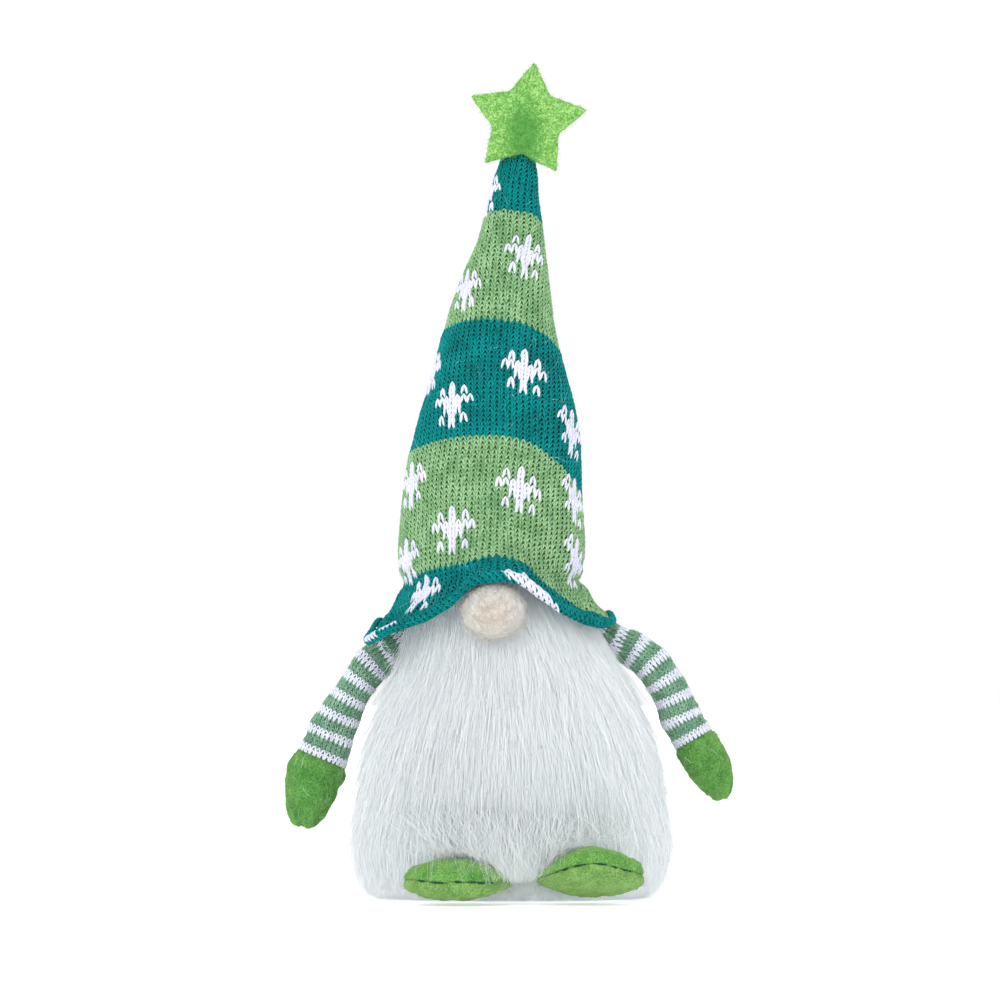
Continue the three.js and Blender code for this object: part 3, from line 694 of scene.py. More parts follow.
# ---------------------------------------------------------------- star
STAR_AT, STAR_OUT, STAR_IN, STAR_TURN, STAR_LEAN, STAR_THICK = np.array([9, 29.0, 373.4]), 29, 16.4, -7.2, 14, 3.0
lean = math.radians(90 - STAR_LEAN)
ROT = np.array([[1, 0, 0], [0, math.cos(lean), -math.sin(lean)], [0, math.sin(lean), math.cos(lean)]])
corner = []
for i in range(10):
    r = STAR_IN if i % 2 else STAR_OUT
    a = math.radians(36 * i - STAR_TURN)
    corner.append([r * math.sin(a), r * math.cos(a)])
corner = np.array(corner)
SIDE_N = 12
edge = np.concatenate([corner[i] + (corner[(i + 1) % 10] - corner[i]) * (np.arange(SIDE_N) / SIDE_N)[:, None] for i in range(10)])
# the cut points are a little rounded
for _ in range(1):
    edge = edge * 0.5 + (np.roll(edge, 1, 0) + np.roll(edge, -1, 0)) * 0.25
edge = edge * 1.02
NE = len(edge)
shares = [0.03, 0.1, 0.18, 0.27, 0.36, 0.45, 0.54, 0.63, 0.72, 0.8, 0.87, 0.93, 0.975, 1.0]
rings = []
half = STAR_THICK / 2
for s in shares:
    k = 1 - max(0, (s - 0.93) / 0.07) ** 2 * 0.45
    rings.append(np.column_stack([edge * s, np.full(NE, half * k)]))
rings.append(np.column_stack([edge * 1.012, np.zeros(NE)]))
for s in shares[::-1]:
    k = 1 - max(0, (s - 0.93) / 0.07) ** 2 * 0.45
    rings.append(np.column_stack([edge * s, np.full(NE, -half * k)]))
S = np.array(rings)
S[..., 2] += half  # from 0 to its thickness, as the CAD solid
nz = wobble(S * [1, 1, 0.3], 3.2, 41) * 0.16 + wobble(S * [1, 1, 0.2], 16, 42) * 0.5
S[..., 2] += nz
S[..., 0] += wobble(S, 5, 43) * 0.18
S[..., 1] += wobble(S, 5, 44) * 0.18
star_v = S.reshape(-1, 3) @ ROT.T + STAR_AT
star_f = outward(star_v, grid_faces(len(rings), NE))
star = build("star_felt", star_v, star_f, [M["star_felt"]])
fixed(star, "root", "hat_star", "hat_star")
v, f = fuzz(star_v, star_f[:1], 3800, 45, (1.0, 3.6), (0.02, 0.22), 0.075)
star_fuzz = fixed(build("star_fibres", v, f, M["star_fibre"]), "root", "hat_star")


# ---------------------------------------------------------------- nose
NOSE_AT, NOSE_R = np.array([-7, -52.8, 136.8]), np.array([15.2, 12.6, 13.6])
lat = np.linspace(0.02, PI - 0.02, 40)[:, None]
lon = np.linspace(0, 2 * PI, 56, endpoint=False)[None, :]
B = np.stack([np.sin(lat) * np.cos(lon), np.sin(lat) * np.sin(lon), np.cos(lat) + 0 * lon], -1)
B = B * NOSE_R * (0.965 + 0.02 * wobble(B * 10, 9, 51) + 0.012 * wobble(B * 10, 3, 52))[..., None]
nose_v = B.reshape(-1, 3) + NOSE_AT
nose_f = outward(nose_v, grid_faces(40, 56))
nose = fixed(build("nose_wool", nose_v, nose_f, M["nose"]), "root", "nose", "nose")
v, f = fuzz(nose_v, nose_f[:1], 3400, 53, (2.0, 7.5), (0.0, 0.09), 0.08, sink=0.05)
v2, f2 = fuzz(nose_v, nose_f[:1], 700, 54, (1.2, 3.2), (0.25, 0.7), 0.05)
v, f = join([(v, f), (v2, f2)])
fixed(build("nose_fibres", v, f, M["nose_fibre"]), "root", "nose")


# ---------------------------------------------------------------- body
BODY = [[1.9, 46, 42], [8, 47.6, 43.4], [25, 48.5, 44], [60, 47, 43.5], [100, 43, 41], [130, 39.3, 38.6], [146, 37, 36.6], [155, 31.5, 31.5], [161, 20, 20], [164, 6, 6]]
FUR = [[1.2, 60, 50, 1.5], [6, 66, 56, 1.5], [22, 74.5, 61, 1.5], [38, 74, 61, 1.5], [53, 72, 60, 1.5], [68, 69.5, 58, 1.4], [83, 65, 56, 1.3], [98, 59, 53, 0.8], [114, 51.5, 50, -0.5], [130, 45.5, 46.8, -3], [140, 42, 44, -5.5], [147, 39.6, 41.6, -6.8]]
FUR_BACK, BODY_Y = 48.3, 2.5


def body_x(z):
    t = np.clip((z - 95) / 60, 0, 1)
    return 1.5 - 8.5 * t * t * (3 - 2 * t)


def body_point(a, z, grow=0.0):
    a, z = np.broadcast_arrays(np.asarray(a, float), np.asarray(z, float))
    r = at(BODY, z)
    return np.stack([body_x(z) + (r[..., 0] + grow) * np.sin(a), BODY_Y - (r[..., 1] + grow) * np.cos(a), z], -1)


def fur_outer(a, z):
    a, z = np.broadcast_arrays(np.asarray(a, float), np.asarray(z, float))
    k = at(FUR, z)
    rx, front, cx = k[..., 0], k[..., 1], k[..., 2]
    back = np.minimum(FUR_BACK, front + BODY_Y) * (at(BODY, z)[..., 1] / 44) + 1
    y = np.where(np.cos(a) > 0, front + BODY_Y, back)
    return np.stack([cx + rx * np.sin(a), BODY_Y - y * np.cos(a), z], -1)


bz = np.concatenate([[2.0, 3.0, 6], np.arange(10, 150, 4.0), [149, 153, 157, 160, 162, 163.6]])
ba = np.linspace(-PI, PI, 72, endpoint=False)
body_grid = body_point(ba[None, :], bz[:, None], -1.2)
pin = np.zeros(body_grid.shape[:2], bool)
pin[:2] = pin[-4:] = True
pin[:, 0] = True
body_grid = puff(body_grid, pin, 2.2, pressure=2.0, grow=0.03, seed=2)
body_v = body_grid.reshape(-1, 3)
body_f = outward(body_v, grid_faces(len(bz), 72))
body = fixed(build("body_bag", body_v, body_f, M["plush"]), "root", "body_plush", "body_cover", "body_filling")
bare = lambda p, n: ((p[:, 1] > 5) & (np.abs(p[:, 0] - 1) < 44) & (p[:, 2] < 132) & (p[:, 2] > 7.0) & (np.abs(p[:, 0] - body_x(p[:, 2])) > 0.8)) * 1.0
v, f = fuzz(body_v, body_f[:1], 8000, 61, (3.2, 6.5), (0.12, 0.4), 0.13, keep=bare, along=np.array([0, 0.0, -1.0]))
fixed(build("body_plush_pile", v, f, M["plush_pile"]), "root", "body_plush")
# centre back seam: ladder of small stitches in a groove
zz = np.arange(6, 126, 3.2)
p = body_point(PI, zz, 0.2)
q = np.linspace(-1, 1, 5)[None, :, None]
c = p[:, None] + np.array([1.6, 0, 0.7]) * q + np.array([0, 0.9, 0]) * (1 - q * q)
v, f = tubes(c, np.array([0, 1.0, 0]) + 0 * c, 0.3, 0.28, 5)
fixed(build("body_seam_thread", v, f, M["white_thread"]), "root", "body_plush")

# underside: the base cloth, slightly sagging, and its hem stitches
rr = np.linspace(0.02, 1, 16)
bb = np.stack([np.stack([body_x(2.0) + 46.4 * s * np.sin(ba), BODY_Y - 42.4 * s * np.cos(ba), np.full(72, 1.0 - 0.35 * math.cos(s * PI / 2) + (0.5 if s == 1 else 0))], -1) for s in rr])
bb[..., 2] += wobble(bb, 22, 71) * 0.15
top = bb[::-1].copy()
top[..., 2] += 0.9
top[..., :2] = (top[..., :2] - [1.5, 2.5]) * 0.998 + [1.5, 2.5]
bb = np.concatenate([bb, top])
bb[..., 2] = np.maximum(bb[..., 2], 0.2)
base = fixed(build("base_cloth", bb.reshape(-1, 3), outward(bb.reshape(-1, 3), grid_faces(len(bb), 72)), M["base_cloth"]), "root", "base_cloth", "base_cover")
na = np.linspace(-PI, PI, 96, endpoint=False)
c = np.stack([body_point(na + d, 2.0, -3.0 + g) for d, g in ((-0.012, 0), (0, 0.1), (0.012, 0))], 1)
c[..., 2] = [0.75, 0.45, 0.75]
v, f = tubes(c, np.array([0, 0, -1.0]) + 0 * c, 0.26, 0.22, 5)
fixed(build("base_hem_thread", v, f, M["white_thread"]), "root", "base_cloth")
for name, mat in (("base_board", "board"), ("weight_pouch", "pouch")):
    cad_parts[name].data.materials.clear()
    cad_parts[name].data.materials.append(M[mat])


# ---------------------------------------------------------------- arms
ARM_Y = 8
LEFT_ARM = dict(side=-1, cuff=61, path=[[-57, 118], [-64, 112.6], [-70.3, 105], [-75.6, 96], [-80.6, 86], [-85.3, 75.7], [-89.6, 65.8], [-93.6, 55], [-96.2, 45], [-97.6, 35.5]], radii=[[0, 9.5, 9.5], [10, 9.6, 9.4], [26, 9.9, 9.3], [40, 10.6, 9.5], [52, 11.8, 9.8], [61, 12.8, 10.1], [64, 13.3, 10.4], [72, 13.2, 10.4], [80, 11.6, 9.6], [87, 9, 7.8], [91, 6, 5.4], [93, 2.4, 2.2]])
RIGHT_ARM = dict(side=1, cuff=60, path=[[52.5, 122.5], [60, 118.6], [67.3, 112.3], [73.8, 104], [79.3, 94.2], [84.2, 84], [89, 75.5], [94.4, 66], [98.8, 57.5], [102.2, 49]], radii=[[0, 8.2, 8.2], [10, 8.6, 9], [24, 9.2, 10.2], [38, 9.7, 11.2], [50, 10.1, 12.2], [60, 10.3, 12.7], [63, 10.7, 13.1], [71, 10.7, 13], [78, 9.8, 11.6], [84, 7.6, 9], [88, 4.8, 5.6], [90, 2, 2.2]])


def arm_point(arm, s, a, inset=0.0, open_end=False):
    s, a = np.broadcast_arrays(np.asarray(s, float), np.asarray(a, float))
    path = np.array(arm["path"], float)
    cum = np.concatenate([[0], np.cumsum(np.linalg.norm(np.diff(path, axis=0), axis=1))])
    tab = np.column_stack([cum, path])
    end = cum[-1]
    e = 0.5
    sc = np.clip(s, 0, end)
    hi, lo = np.clip(sc + e, 0, end), np.clip(sc - e, 0, end)
    t = at(tab, hi) - at(tab, lo)
    t = t / np.linalg.norm(t, axis=-1, keepdims=True)
    c = at(tab, sc) + t * (s - sc)[..., None]
    w = at(arm["radii"], np.maximum(s, 0))
    r0 = arm["radii"][0][1]
    cap = np.where((s < 0) & (not open_end), np.sqrt(np.maximum(1 - (s / r0) ** 2, 0)), 1)
    u = np.maximum(w[..., 0] * cap - inset, 0.3)
    v = np.maximum(w[..., 1] * cap - inset, 0.3)
    x = c[..., 0] + u * np.sin(a) * t[..., 1]
    z = c[..., 1] - u * np.sin(a) * t[..., 0]
    return np.stack([x, ARM_Y - v * np.cos(a), z], -1)


SW, SC = 2.35, 1.9  # sleeve wale and course
for side, arm in (("left", LEFT_ARM), ("right", RIGHT_ARM)):
    sd = 1 if side == "left" else 2
    body_name = side + "_arm"
    r0, cuff, end = arm["radii"][0][1], arm["cuff"], arm["radii"][-1][0]
    first = -0.97 * r0
    ns = int((cuff - first) / SC)
    s_of = lambda row, first=first, cuff=cuff, ns=ns: first + (cuff - first) * np.asarray(row, float) / ns
    C2 = 40
    aa = -PI + 2 * PI * np.arange(C2) / C2
    g = arm_point(arm, s_of(np.arange(ns + 1))[:, None], aa[None, :], 0.95)
    pin = np.zeros(g.shape[:2], bool)
    pin[:3] = pin[-2:] = True
    g = puff(g, pin, 0.9, pressure=2.0, grow=0.03, seed=3)
    env = np.clip(np.arange(ns + 1) / 8, 0, 1) * np.clip((ns - np.arange(ns + 1)) / 4, 0, 1)
    mid = g.mean(1, keepdims=True)
    g = g + unit(g - mid) * (wobble(g, 17, 80 + sd) * 0.45 * env[:, None])[..., None]
    surf = Surf(g)
    rad_of = lambda row, arm=arm, s_of=s_of: np.maximum(
        (at(arm["radii"], np.maximum(s_of(row), 0)).mean(-1) - 0.4)
        * np.where(s_of(row) < 0, np.sqrt(np.maximum(1 - (s_of(row) / arm["radii"][0][1]) ** 2, 0.02)), 1),
        1.0,
    )

    def sleeve_at(row, wale, surf=surf, rad_of=rad_of, ns=ns):
        a = wale * SW / rad_of(row)
        return surf(row, (a + PI) / (2 * PI) * C2)

    sage, pale = [], []
    for j in range(2, ns):
        n = int((PI * float(rad_of(j + 0.6)) - 0.4) / SW)
        back = ns - 1 - j
        for i in range(-n, n + 1):
            (pale if (back % 5) < 2 else sage).append((j, i))
    k = 0.74
    v, f = stitches(sleeve_at, sage, 100 + sd, k, 0.98, -0.05)
    fixed(build(side + "_sleeve_yarn_sage", v, f, M["sage_yarn"]), body_name, "sleeve_knit")
    v, f = stitches(sleeve_at, pale, 110 + sd, k * 1.1, 1.05, 0.08)
    fixed(build(side + "_sleeve_yarn_white", v, f, M["sleeve_white"]), body_name, "sleeve_knit")
    core = surf.p - surf.n * 0.3
    cv = core.reshape(-1, 3)
    sleeve = fixed(build(side + "_sleeve_cloth", cv, outward(cv, grid_faces(ns + 1, C2)), M["sleeve_base"]), body_name, "sleeve_knit", side + "_sleeve", side + "_arm_filling")
    v, f = fuzz(cv, outward(cv, grid_faces(ns + 1, C2))[:1], 700, 120 + sd, (1.5, 4.5), (0.15, 0.5), 0.05, sink=-0.35)
    fixed(build(side + "_sleeve_stray", v, f, M["stray"]), body_name, "sleeve_knit")

    # the sleeve's upper end, which runs on under the brim into the body's side seam
    ext0, back_n = -27.0, 15
    se = np.linspace(ext0, 1.0, back_n + 1)
    ge = arm_point(arm, se[:, None], aa[None, :], 0.75, True)
    ge = ge + unit(ge - ge.mean(1, keepdims=True)) * (wobble(ge, 15, 84 + sd) * 0.4)[..., None]
    es = Surf(ge)
    re = float(np.mean(arm["radii"][0][1:])) - 0.3

    def ext_at(row, wale, es=es, re=re):
        return es(row, (wale * SW / re + PI) / (2 * PI) * C2)

    es_sage, es_pale = [], []
    n = int((PI * re - 0.4) / SW)
    for j in range(0, back_n - 1):
        js = round((se[j] - first) / (cuff - first) * ns)
        for i in range(-n, n + 1):
            (es_pale if ((ns - 1 - js) % 5) < 2 else es_sage).append((j, i))
    for nm, (v, f), mt in (
        ("_sleeve_top_sage", stitches(ext_at, es_sage, 103 + sd, k, 0.98, -0.05), "sage_yarn"),
        ("_sleeve_top_white", stitches(ext_at, es_pale, 105 + sd, k * 1.1, 1.05, 0.08), "sleeve_white"),
        ("_sleeve_top_cloth", ((es.p - es.n * 0.3).reshape(-1, 3), outward((es.p - es.n * 0.3).reshape(-1, 3), grid_faces(back_n + 1, C2))), "sleeve_base"),
    ):
        o = build(side + nm, v, f, M[mt])
        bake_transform(o)

    # mitten: two felt halves with a seam down each edge, gathered at the tip
    s0 = cuff + 0.4
    srow = np.concatenate([[s0 + 0.6, s0 + 0.1, s0], np.arange(s0 + 1.2, end - 3, 1.25), [end - 2.2, end - 1.2, end - 0.5, end]])
    C3 = 64
    a3 = -PI + 2 * PI * np.arange(C3) / C3
    inset = np.full(len(srow), 0.7)
    inset[0] = 9.0
    inset[1] = 1.6
    g = np.stack([arm_point(arm, s, a3, i) for s, i in zip(srow, inset)])
    pin = np.zeros(g.shape[:2], bool)
    pin[:4] = pin[-2:] = True
    pin[:, [C3 // 4, 3 * C3 // 4]] = True  # the seams hold, so the felt puffs between them
    g = puff(g, pin, 1.3, pressure=4.0, grow=0.05, seed=4)
    mid = g.mean(1, keepdims=True)
    outd = unit(g - mid)
    q = np.clip((srow - (end - 22)) / 22, 0, 1)[:, None]
    fold = np.cos(9 * a3 + 0.7 * sd)[None] * 0.5 * q**2 + np.cos(5 * a3 + 2.1)[None] * 0.4 * q**1.5
    ridge = sum(np.exp(-(((a3 - x + PI) % (2 * PI) - PI) / 0.075) ** 2) for x in (PI / 2, -PI / 2))[None]
    ridge = ridge * 0.95 * np.clip((srow - s0) / 3, 0, 1)[:, None] * np.clip((end - 1.5 - srow) / 4, 0, 1)[:, None]
    lump = wobble(g, 11, 90 + sd) * 0.35 + wobble(g, 4, 94 + sd) * 0.12
    env = np.clip((srow - s0) / 2, 0, 1)[:, None]
    g = g + outd * (((fold + lump) * env + ridge)[..., None])
    # the gathered end: a crease between two lobes
    tdir = g[-1].mean(0) - g[-8].mean(0)
    tdir = tdir / np.linalg.norm(tdir)
    across = np.array([tdir[2], 0, -tdir[0]])
    lat2 = (g - mid) @ across
    g = g + tdir * (2.4 * q**1.5)[..., None]
    g = g - tdir * (1.1 * np.exp(-(((lat2 - 0.8) / 1.5) ** 2)) * q**3)[..., None]
    g = g + tdir * (0.3 * np.exp(-(((np.abs(lat2) - 4.0) / 3.0) ** 2)) * q**3)[..., None]
    mv = g.reshape(-1, 3)
    mf = outward(mv, grid_faces(len(srow), C3))
    mitten = fixed(build(side + "_mitten_felt", mv, mf, M["felt"]), body_name, "mitten_felt", side + "_mitten")
    v, f = fuzz(mv, mf[:1], 3600, 130 + sd, (0.9, 3.0), (0.04, 0.35), 0.065)
    fixed(build(side + "_mitten_fibres", v, f, M["felt_fibre"]), body_name, "mitten_felt")
    v, f = fuzz(mv, mf[:1], 26, 136 + sd, (4, 11), (0.02, 0.1), 0.06, sink=-0.15)
    fixed(build(side + "_mitten_stray_fur", v, f, M["fur"]), body_name, "mitten_felt")

    # the unstuffed end of the sleeve that is sewn into the body's side
    bx = float(body_x(arm["path"][0][1])) + arm["side"] * 41.7
    ox = arm["path"][0][0] - arm["side"] * (r0 + 0.5)
    xs = np.linspace(bx, ox, 9)
    ta = np.linspace(0, 2 * PI, 24, endpoint=False)
    tz = arm["path"][0][1]
    g = np.stack([np.stack([np.full(24, x), ARM_Y + (1.75 + 0.25 * math.sin(x)) * np.sin(ta), tz + 6.0 * np.cos(ta) * (1 - 0.05 * math.cos(x * 2))], -1) for x in xs])
    gv2 = g.reshape(-1, 3)
    fixed(build(side + "_sleeve_end", gv2, outward(gv2, grid_faces(9, 24)), M["sleeve_base"]), side + "_shoulder", "sleeve_knit", side + "_shoulder_tab")


# ---------------------------------------------------------------- feet
LEFT_FOOT = dict(x=-23.6, y=-77.5, a=24.6, b=27, up=11.2, down=11.3, z=11.7, lift=0, side=-1, point=1, thin=0.42, arch=-0.8, drop=-1.6, seam=(-0.86, 0.78))
RIGHT_FOOT = dict(x=38, y=-77, a=24.6, b=27, up=13.0, down=11.3, z=13.6, lift=7, side=1, point=-1, thin=0.5, arch=2.9, drop=-3.4, seam=(-0.74, 1.02))


def foot_shape(foot, p):
    """One end of the foot is drawn out to a low point, and the seam arches over the toe."""
    u = p[..., 0] / foot["a"]
    front = np.clip(-p[..., 1] / foot["b"], 0, 1)
    low = np.clip((foot["point"] * u - 0.15) / 0.85, 0, 1) ** 1.3
    z = p[..., 2] * (1 - foot["thin"] * low) + foot["drop"] * low * (0.4 + 0.6 * front)
    z = z + (foot["arch"] * (1 - 1.3 * u * u) + 0.35 * np.sin(7 * u + foot["x"])) * front
    return np.stack([p[..., 0], p[..., 1], z], -1)


def foot_world(foot, p):
    p = foot_shape(foot, p)
    c, s = math.cos(math.radians(-foot["lift"])), math.sin(math.radians(-foot["lift"]))
    return np.stack([p[..., 0], p[..., 1] * c - p[..., 2] * s, p[..., 1] * s + p[..., 2] * c], -1) + [foot["x"], foot["y"], foot["z"]]


for side, foot in (("left", LEFT_FOOT), ("right", RIGHT_FOOT)):
    sd = 5 if side == "left" else 6
    body_name = side + "_foot"
    C4 = 84
    a4 = -PI + 2 * PI * np.arange(C4) / C4
    hs = np.concatenate([[0.0, 0.03, 0.07], np.linspace(0.12, 0.97, 18)])
    halves = []
    for sign in (1, -1):
        g = []
        for h in hs:
            k = math.cos(math.radians(90 * h)) ** 0.62
            up = foot["up"] * math.sin(math.radians(90 * h)) if sign > 0 else -foot["down"] * math.sin(math.radians(90 * h)) ** 0.8
            k = max(k, 0.02)
            g.append(np.stack([k * (foot["a"] - 0.6) * np.sin(a4), -k * (foot["b"] - 0.6) * np.cos(a4), np.full(C4, up * 0.96)], -1))
        g = np.array(g)
        g = np.concatenate([g[:1] * [0.2, 0.2, 0], g])  # closed under the seam
        pin = np.zeros(g.shape[:2], bool)
        pin[:2] = True
        g = puff(g, pin, 1.5, pressure=3.0, grow=0.06, seed=5)
        if sign < 0:
            g[..., 2] = np.maximum(g[..., 2], -foot["down"] * 0.985)
        hh = np.concatenate([[0], hs])[:, None]
        n = unit(g * [1 / foot["a"] ** 2, 1 / foot["b"] ** 2, 1 / foot["up"] ** 2] + [0, 0, sign * 1e-4])
        # pulled in at the seam, with small puckers that fade away from it
        fm = 0.25 + 0.75 * np.clip((math.radians(74) - np.abs(a4)) / math.radians(24), 0, 1)[None]
        pucker = fm * (np.cos(23 * a4 + 3 * wobble(np.stack([a4, a4 * 0, a4 * 0 + sd], -1) * 4, 5, 7))[None] * 0.75 + wobble(g, 6, 140 + sd + sign) * 0.5) * np.exp(-((hh / 0.2) ** 2)) * (hh > 0.02)
        crease = (wobble(g * [1, 1, 2.4], 9, 150 + sd + sign) * 0.4 - 0.3 * np.abs(wobble(g * [0.45, 0.45, 2.6], 7, 170 + sd))) * np.clip(hh / 0.2, 0, 1)
        if sign < 0:  # slack felt under the toe lies in low curved folds
            crease = crease + 0.4 * np.sin(hh * 23 + 1.4 * np.sin(2.2 * a4)[None]) * fm * np.exp(-(((hh - 0.36) / 0.2) ** 2))
        draw = -(0.3 + 1.0 * fm) * np.exp(-((hh / 0.06) ** 2)) - 0.9 * fm * np.exp(-((hh / 0.2) ** 2))
        g = g + n * (pucker + crease + draw)[..., None]
        if sign < 0:
            g[..., 2] = np.maximum(g[..., 2], -foot["down"] * 0.99)
        gw = foot_world(foot, g)
        gw[..., 2] = np.maximum(gw[..., 2], 0.25)
        fv = gw.reshape(-1, 3)
        ff = outward(fv, grid_faces(len(g), C4))
        part = "_foot_top_felt" if sign > 0 else "_foot_sole_felt"
        nodes = (side + "_foot_upper", side + "_foot_filling") if sign > 0 else (side + "_foot_sole",)
        felt = "foot" if sign > 0 else "sole"
        o = fixed(build(side + part, fv, ff, M[felt]), body_name, "foot_felt" if sign > 0 else "sole_felt", *nodes)
        halves.append((fv, ff[:1]))
        v, f = fuzz(fv, ff[:1], 2800, 160 + sd + sign, (0.9, 2.8), (0.02, 0.2), 0.055)
        fixed(build(side + part + "_fibres", v, f, M[felt + "_fibre"]), body_name, "foot_felt" if sign > 0 else "sole_felt")
    # the seam: dark thread whipped over the joint
    nt = 56
    at4 = np.linspace(*foot["seam"], nt) + np.random.default_rng(sd).normal(0, 0.006, nt)
    q = np.linspace(-1, 1, 5)[None, :]
    rr2 = -1.75 + 0.75 * (1 - q * q)
    ang = at4[:, None] + 0.012 * q
    c = np.stack([(foot["a"] + rr2) * np.sin(ang), -(foot["b"] + rr2) * np.cos(ang), 0 * ang + 0.75 * q], -1)
    nrm = np.stack([np.sin(ang), -np.cos(ang), 0 * ang], -1)
    v, f = tubes(foot_world(foot, c), nrm, 0.2, 0.18, 5)
    loop = np.linspace(foot["seam"][0] - 0.03, foot["seam"][1] + 0.03, 90)
    c = np.stack([(foot["a"] - 1.75) * np.sin(loop), -(foot["b"] - 1.75) * np.cos(loop), 0.25 * np.sin(loop * 40)], -1)[None]
    v2, f2 = tubes(foot_world(foot, c), np.stack([np.sin(loop), -np.cos(loop), 0 * loop], -1)[None], 0.42, 0.45, 6)
    v, f = join([(v, f), (v2, f2)])
    fixed(build(side + "_foot_seam", v, f, M["seam_thread"]), body_name, "foot_felt")
    lo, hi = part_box(side + "_foot_tab")
    lo, hi = np.array(lo) * 1000 - SHIFT, np.array(hi) * 1000 - SHIFT
    ta = np.linspace(0, 2 * PI, 20, endpoint=False)
    sx = np.sign(np.sin(ta)) * np.abs(np.sin(ta)) ** 0.5
    sz = np.sign(np.cos(ta)) * np.abs(np.cos(ta)) ** 0.5
    c0, h0 = (lo + hi) / 2, (hi - lo) / 2
    g = np.stack([np.stack([np.full(20, c0[0] + h0[0] * x), c0[1] + h0[1] * sx, c0[2] + h0[2] * sz * (1 + 0.1 * math.sin(9 * x))], -1) for x in np.linspace(-1, 1, 12)])
    gv2 = g.reshape(-1, 3)
    fixed(build(side + "_foot_tab_felt", gv2, outward(gv2, grid_faces(12, 20)), M["foot"]), "root", "foot_felt", side + "_foot_tab")


# ---------------------------------------------------------------- beard
def inside_foot(foot, p, grow=1.04):
    """Pushes points out of a foot, so that hair lies over it."""
    c = np.array([foot["x"], foot["y"], foot["z"]])
    r = np.array([foot["a"] + 0.7, foot["b"] + 0.7, foot["up"] + 0.9])
    d = (p - c) / r
    ln = np.linalg.norm(d, axis=-1, keepdims=True)
    d2 = d + np.array([0, -0.05, 0.55]) * (ln < grow)
    ln2 = np.linalg.norm(d2, axis=-1, keepdims=True)
    return np.where(ln < grow, c + d2 / np.maximum(ln2, 1e-6) * grow * r, p)


fz = np.concatenate([[3.0, 4.0, 5.5], np.arange(8.0, 150, 2.5), [151, 155, 158]])
FC = 240
fa = np.linspace(-PI, PI, FC, endpoint=False)
g = fur_outer(fa[None, :], fz[:, None])
mid = np.stack([body_x(fz), np.full(len(fz), BODY_Y), fz], -1)[:, None]
outd = unit((g - mid) * [1, 1, 0])
# locks of hair: ridges that run down and merge
lock = np.abs(np.sin(fa[None] * 19 + 1.6 * np.sin(fz[:, None] / 31 + 2 * np.sin(fa * 5)[None]) + 2.2 * wobble(np.stack([fa * 14, 0 * fa, 0 * fa], -1), 9, 3)[None])) ** 0.8
depth = 4.9 - 0.7 * lock
ga = body_point(fa[None, :], fz[:, None], -2.0)
back = np.clip((np.abs(fa) - math.radians(128)) / math.radians(22), 0, 1)[None, :, None]
g = (g - outd * depth[..., None]) * (1 - back) + ga * back
g[..., 2] = fz[:, None] + (wobble(np.stack([fa * 20, 0 * fa, 0 * fa], -1), 5, 9) * 1.6)[None] * np.clip((10 - fz[:, None]) / 8, 0, 1)
hem = np.array([0.86, 0.93, 0.97])[:, None, None]
g[:3, :, :2] = (g[:3, :, :2] - mid[:3, :, :2]) * hem + mid[:3, :, :2]
g[..., 2] = np.maximum(g[..., 2], 0.6)
top = np.clip((fz - 140) / 18, 0, 1)[:, None, None]
g = g * (1 - top * 0.0)
g[-3:, :, :2] = (g[-3:, :, :2] - mid[-3:, :, :2]) * np.array([0.92, 0.8, 0.6])[:, None, None] + mid[-3:, :, :2]
fbv = g.reshape(-1, 3)
beard = fixed(build("beard_pile_base", fbv, outward(fbv, grid_faces(len(fz), FC)), M["fur_base"]), "root", "fur", "beard_fur")


def under_hat(c):
    """Keeps hair inside the hat and behind its curled edge."""
    z = c[..., 2]
    h = at(HAT, z)
    dx, dy = c[..., 0] - h[..., 0], c[..., 1] - hat_y(z)
    edge = at(BRIM, np.degrees(np.arctan2(dx, -dy)))
    flare = (1 - np.clip((z - edge[..., 1]) / 26, 0, 1)) ** 1.9
    room = h[..., 1] + (edge[..., 0] - h[..., 1]) * flare - 4.6
    room = np.where(z > edge[..., 1] - 3.5, room, 1e6)
    k = np.minimum(1, room / np.maximum(np.hypot(dx, dy), 1e-6))
    c = c.copy()
    c[..., 0], c[..., 1] = h[..., 0] + dx * k, hat_y(z) + dy * k
    return c


def foot_top(foot, x, y):
    """Height of the foot's upper side, in the foot's own axes."""
    k = np.hypot(x / foot["a"], y / foot["b"])
    return (foot["up"] + 0.6) * np.sqrt(np.maximum(1 - np.minimum(k, 1) ** 3.2, 0))


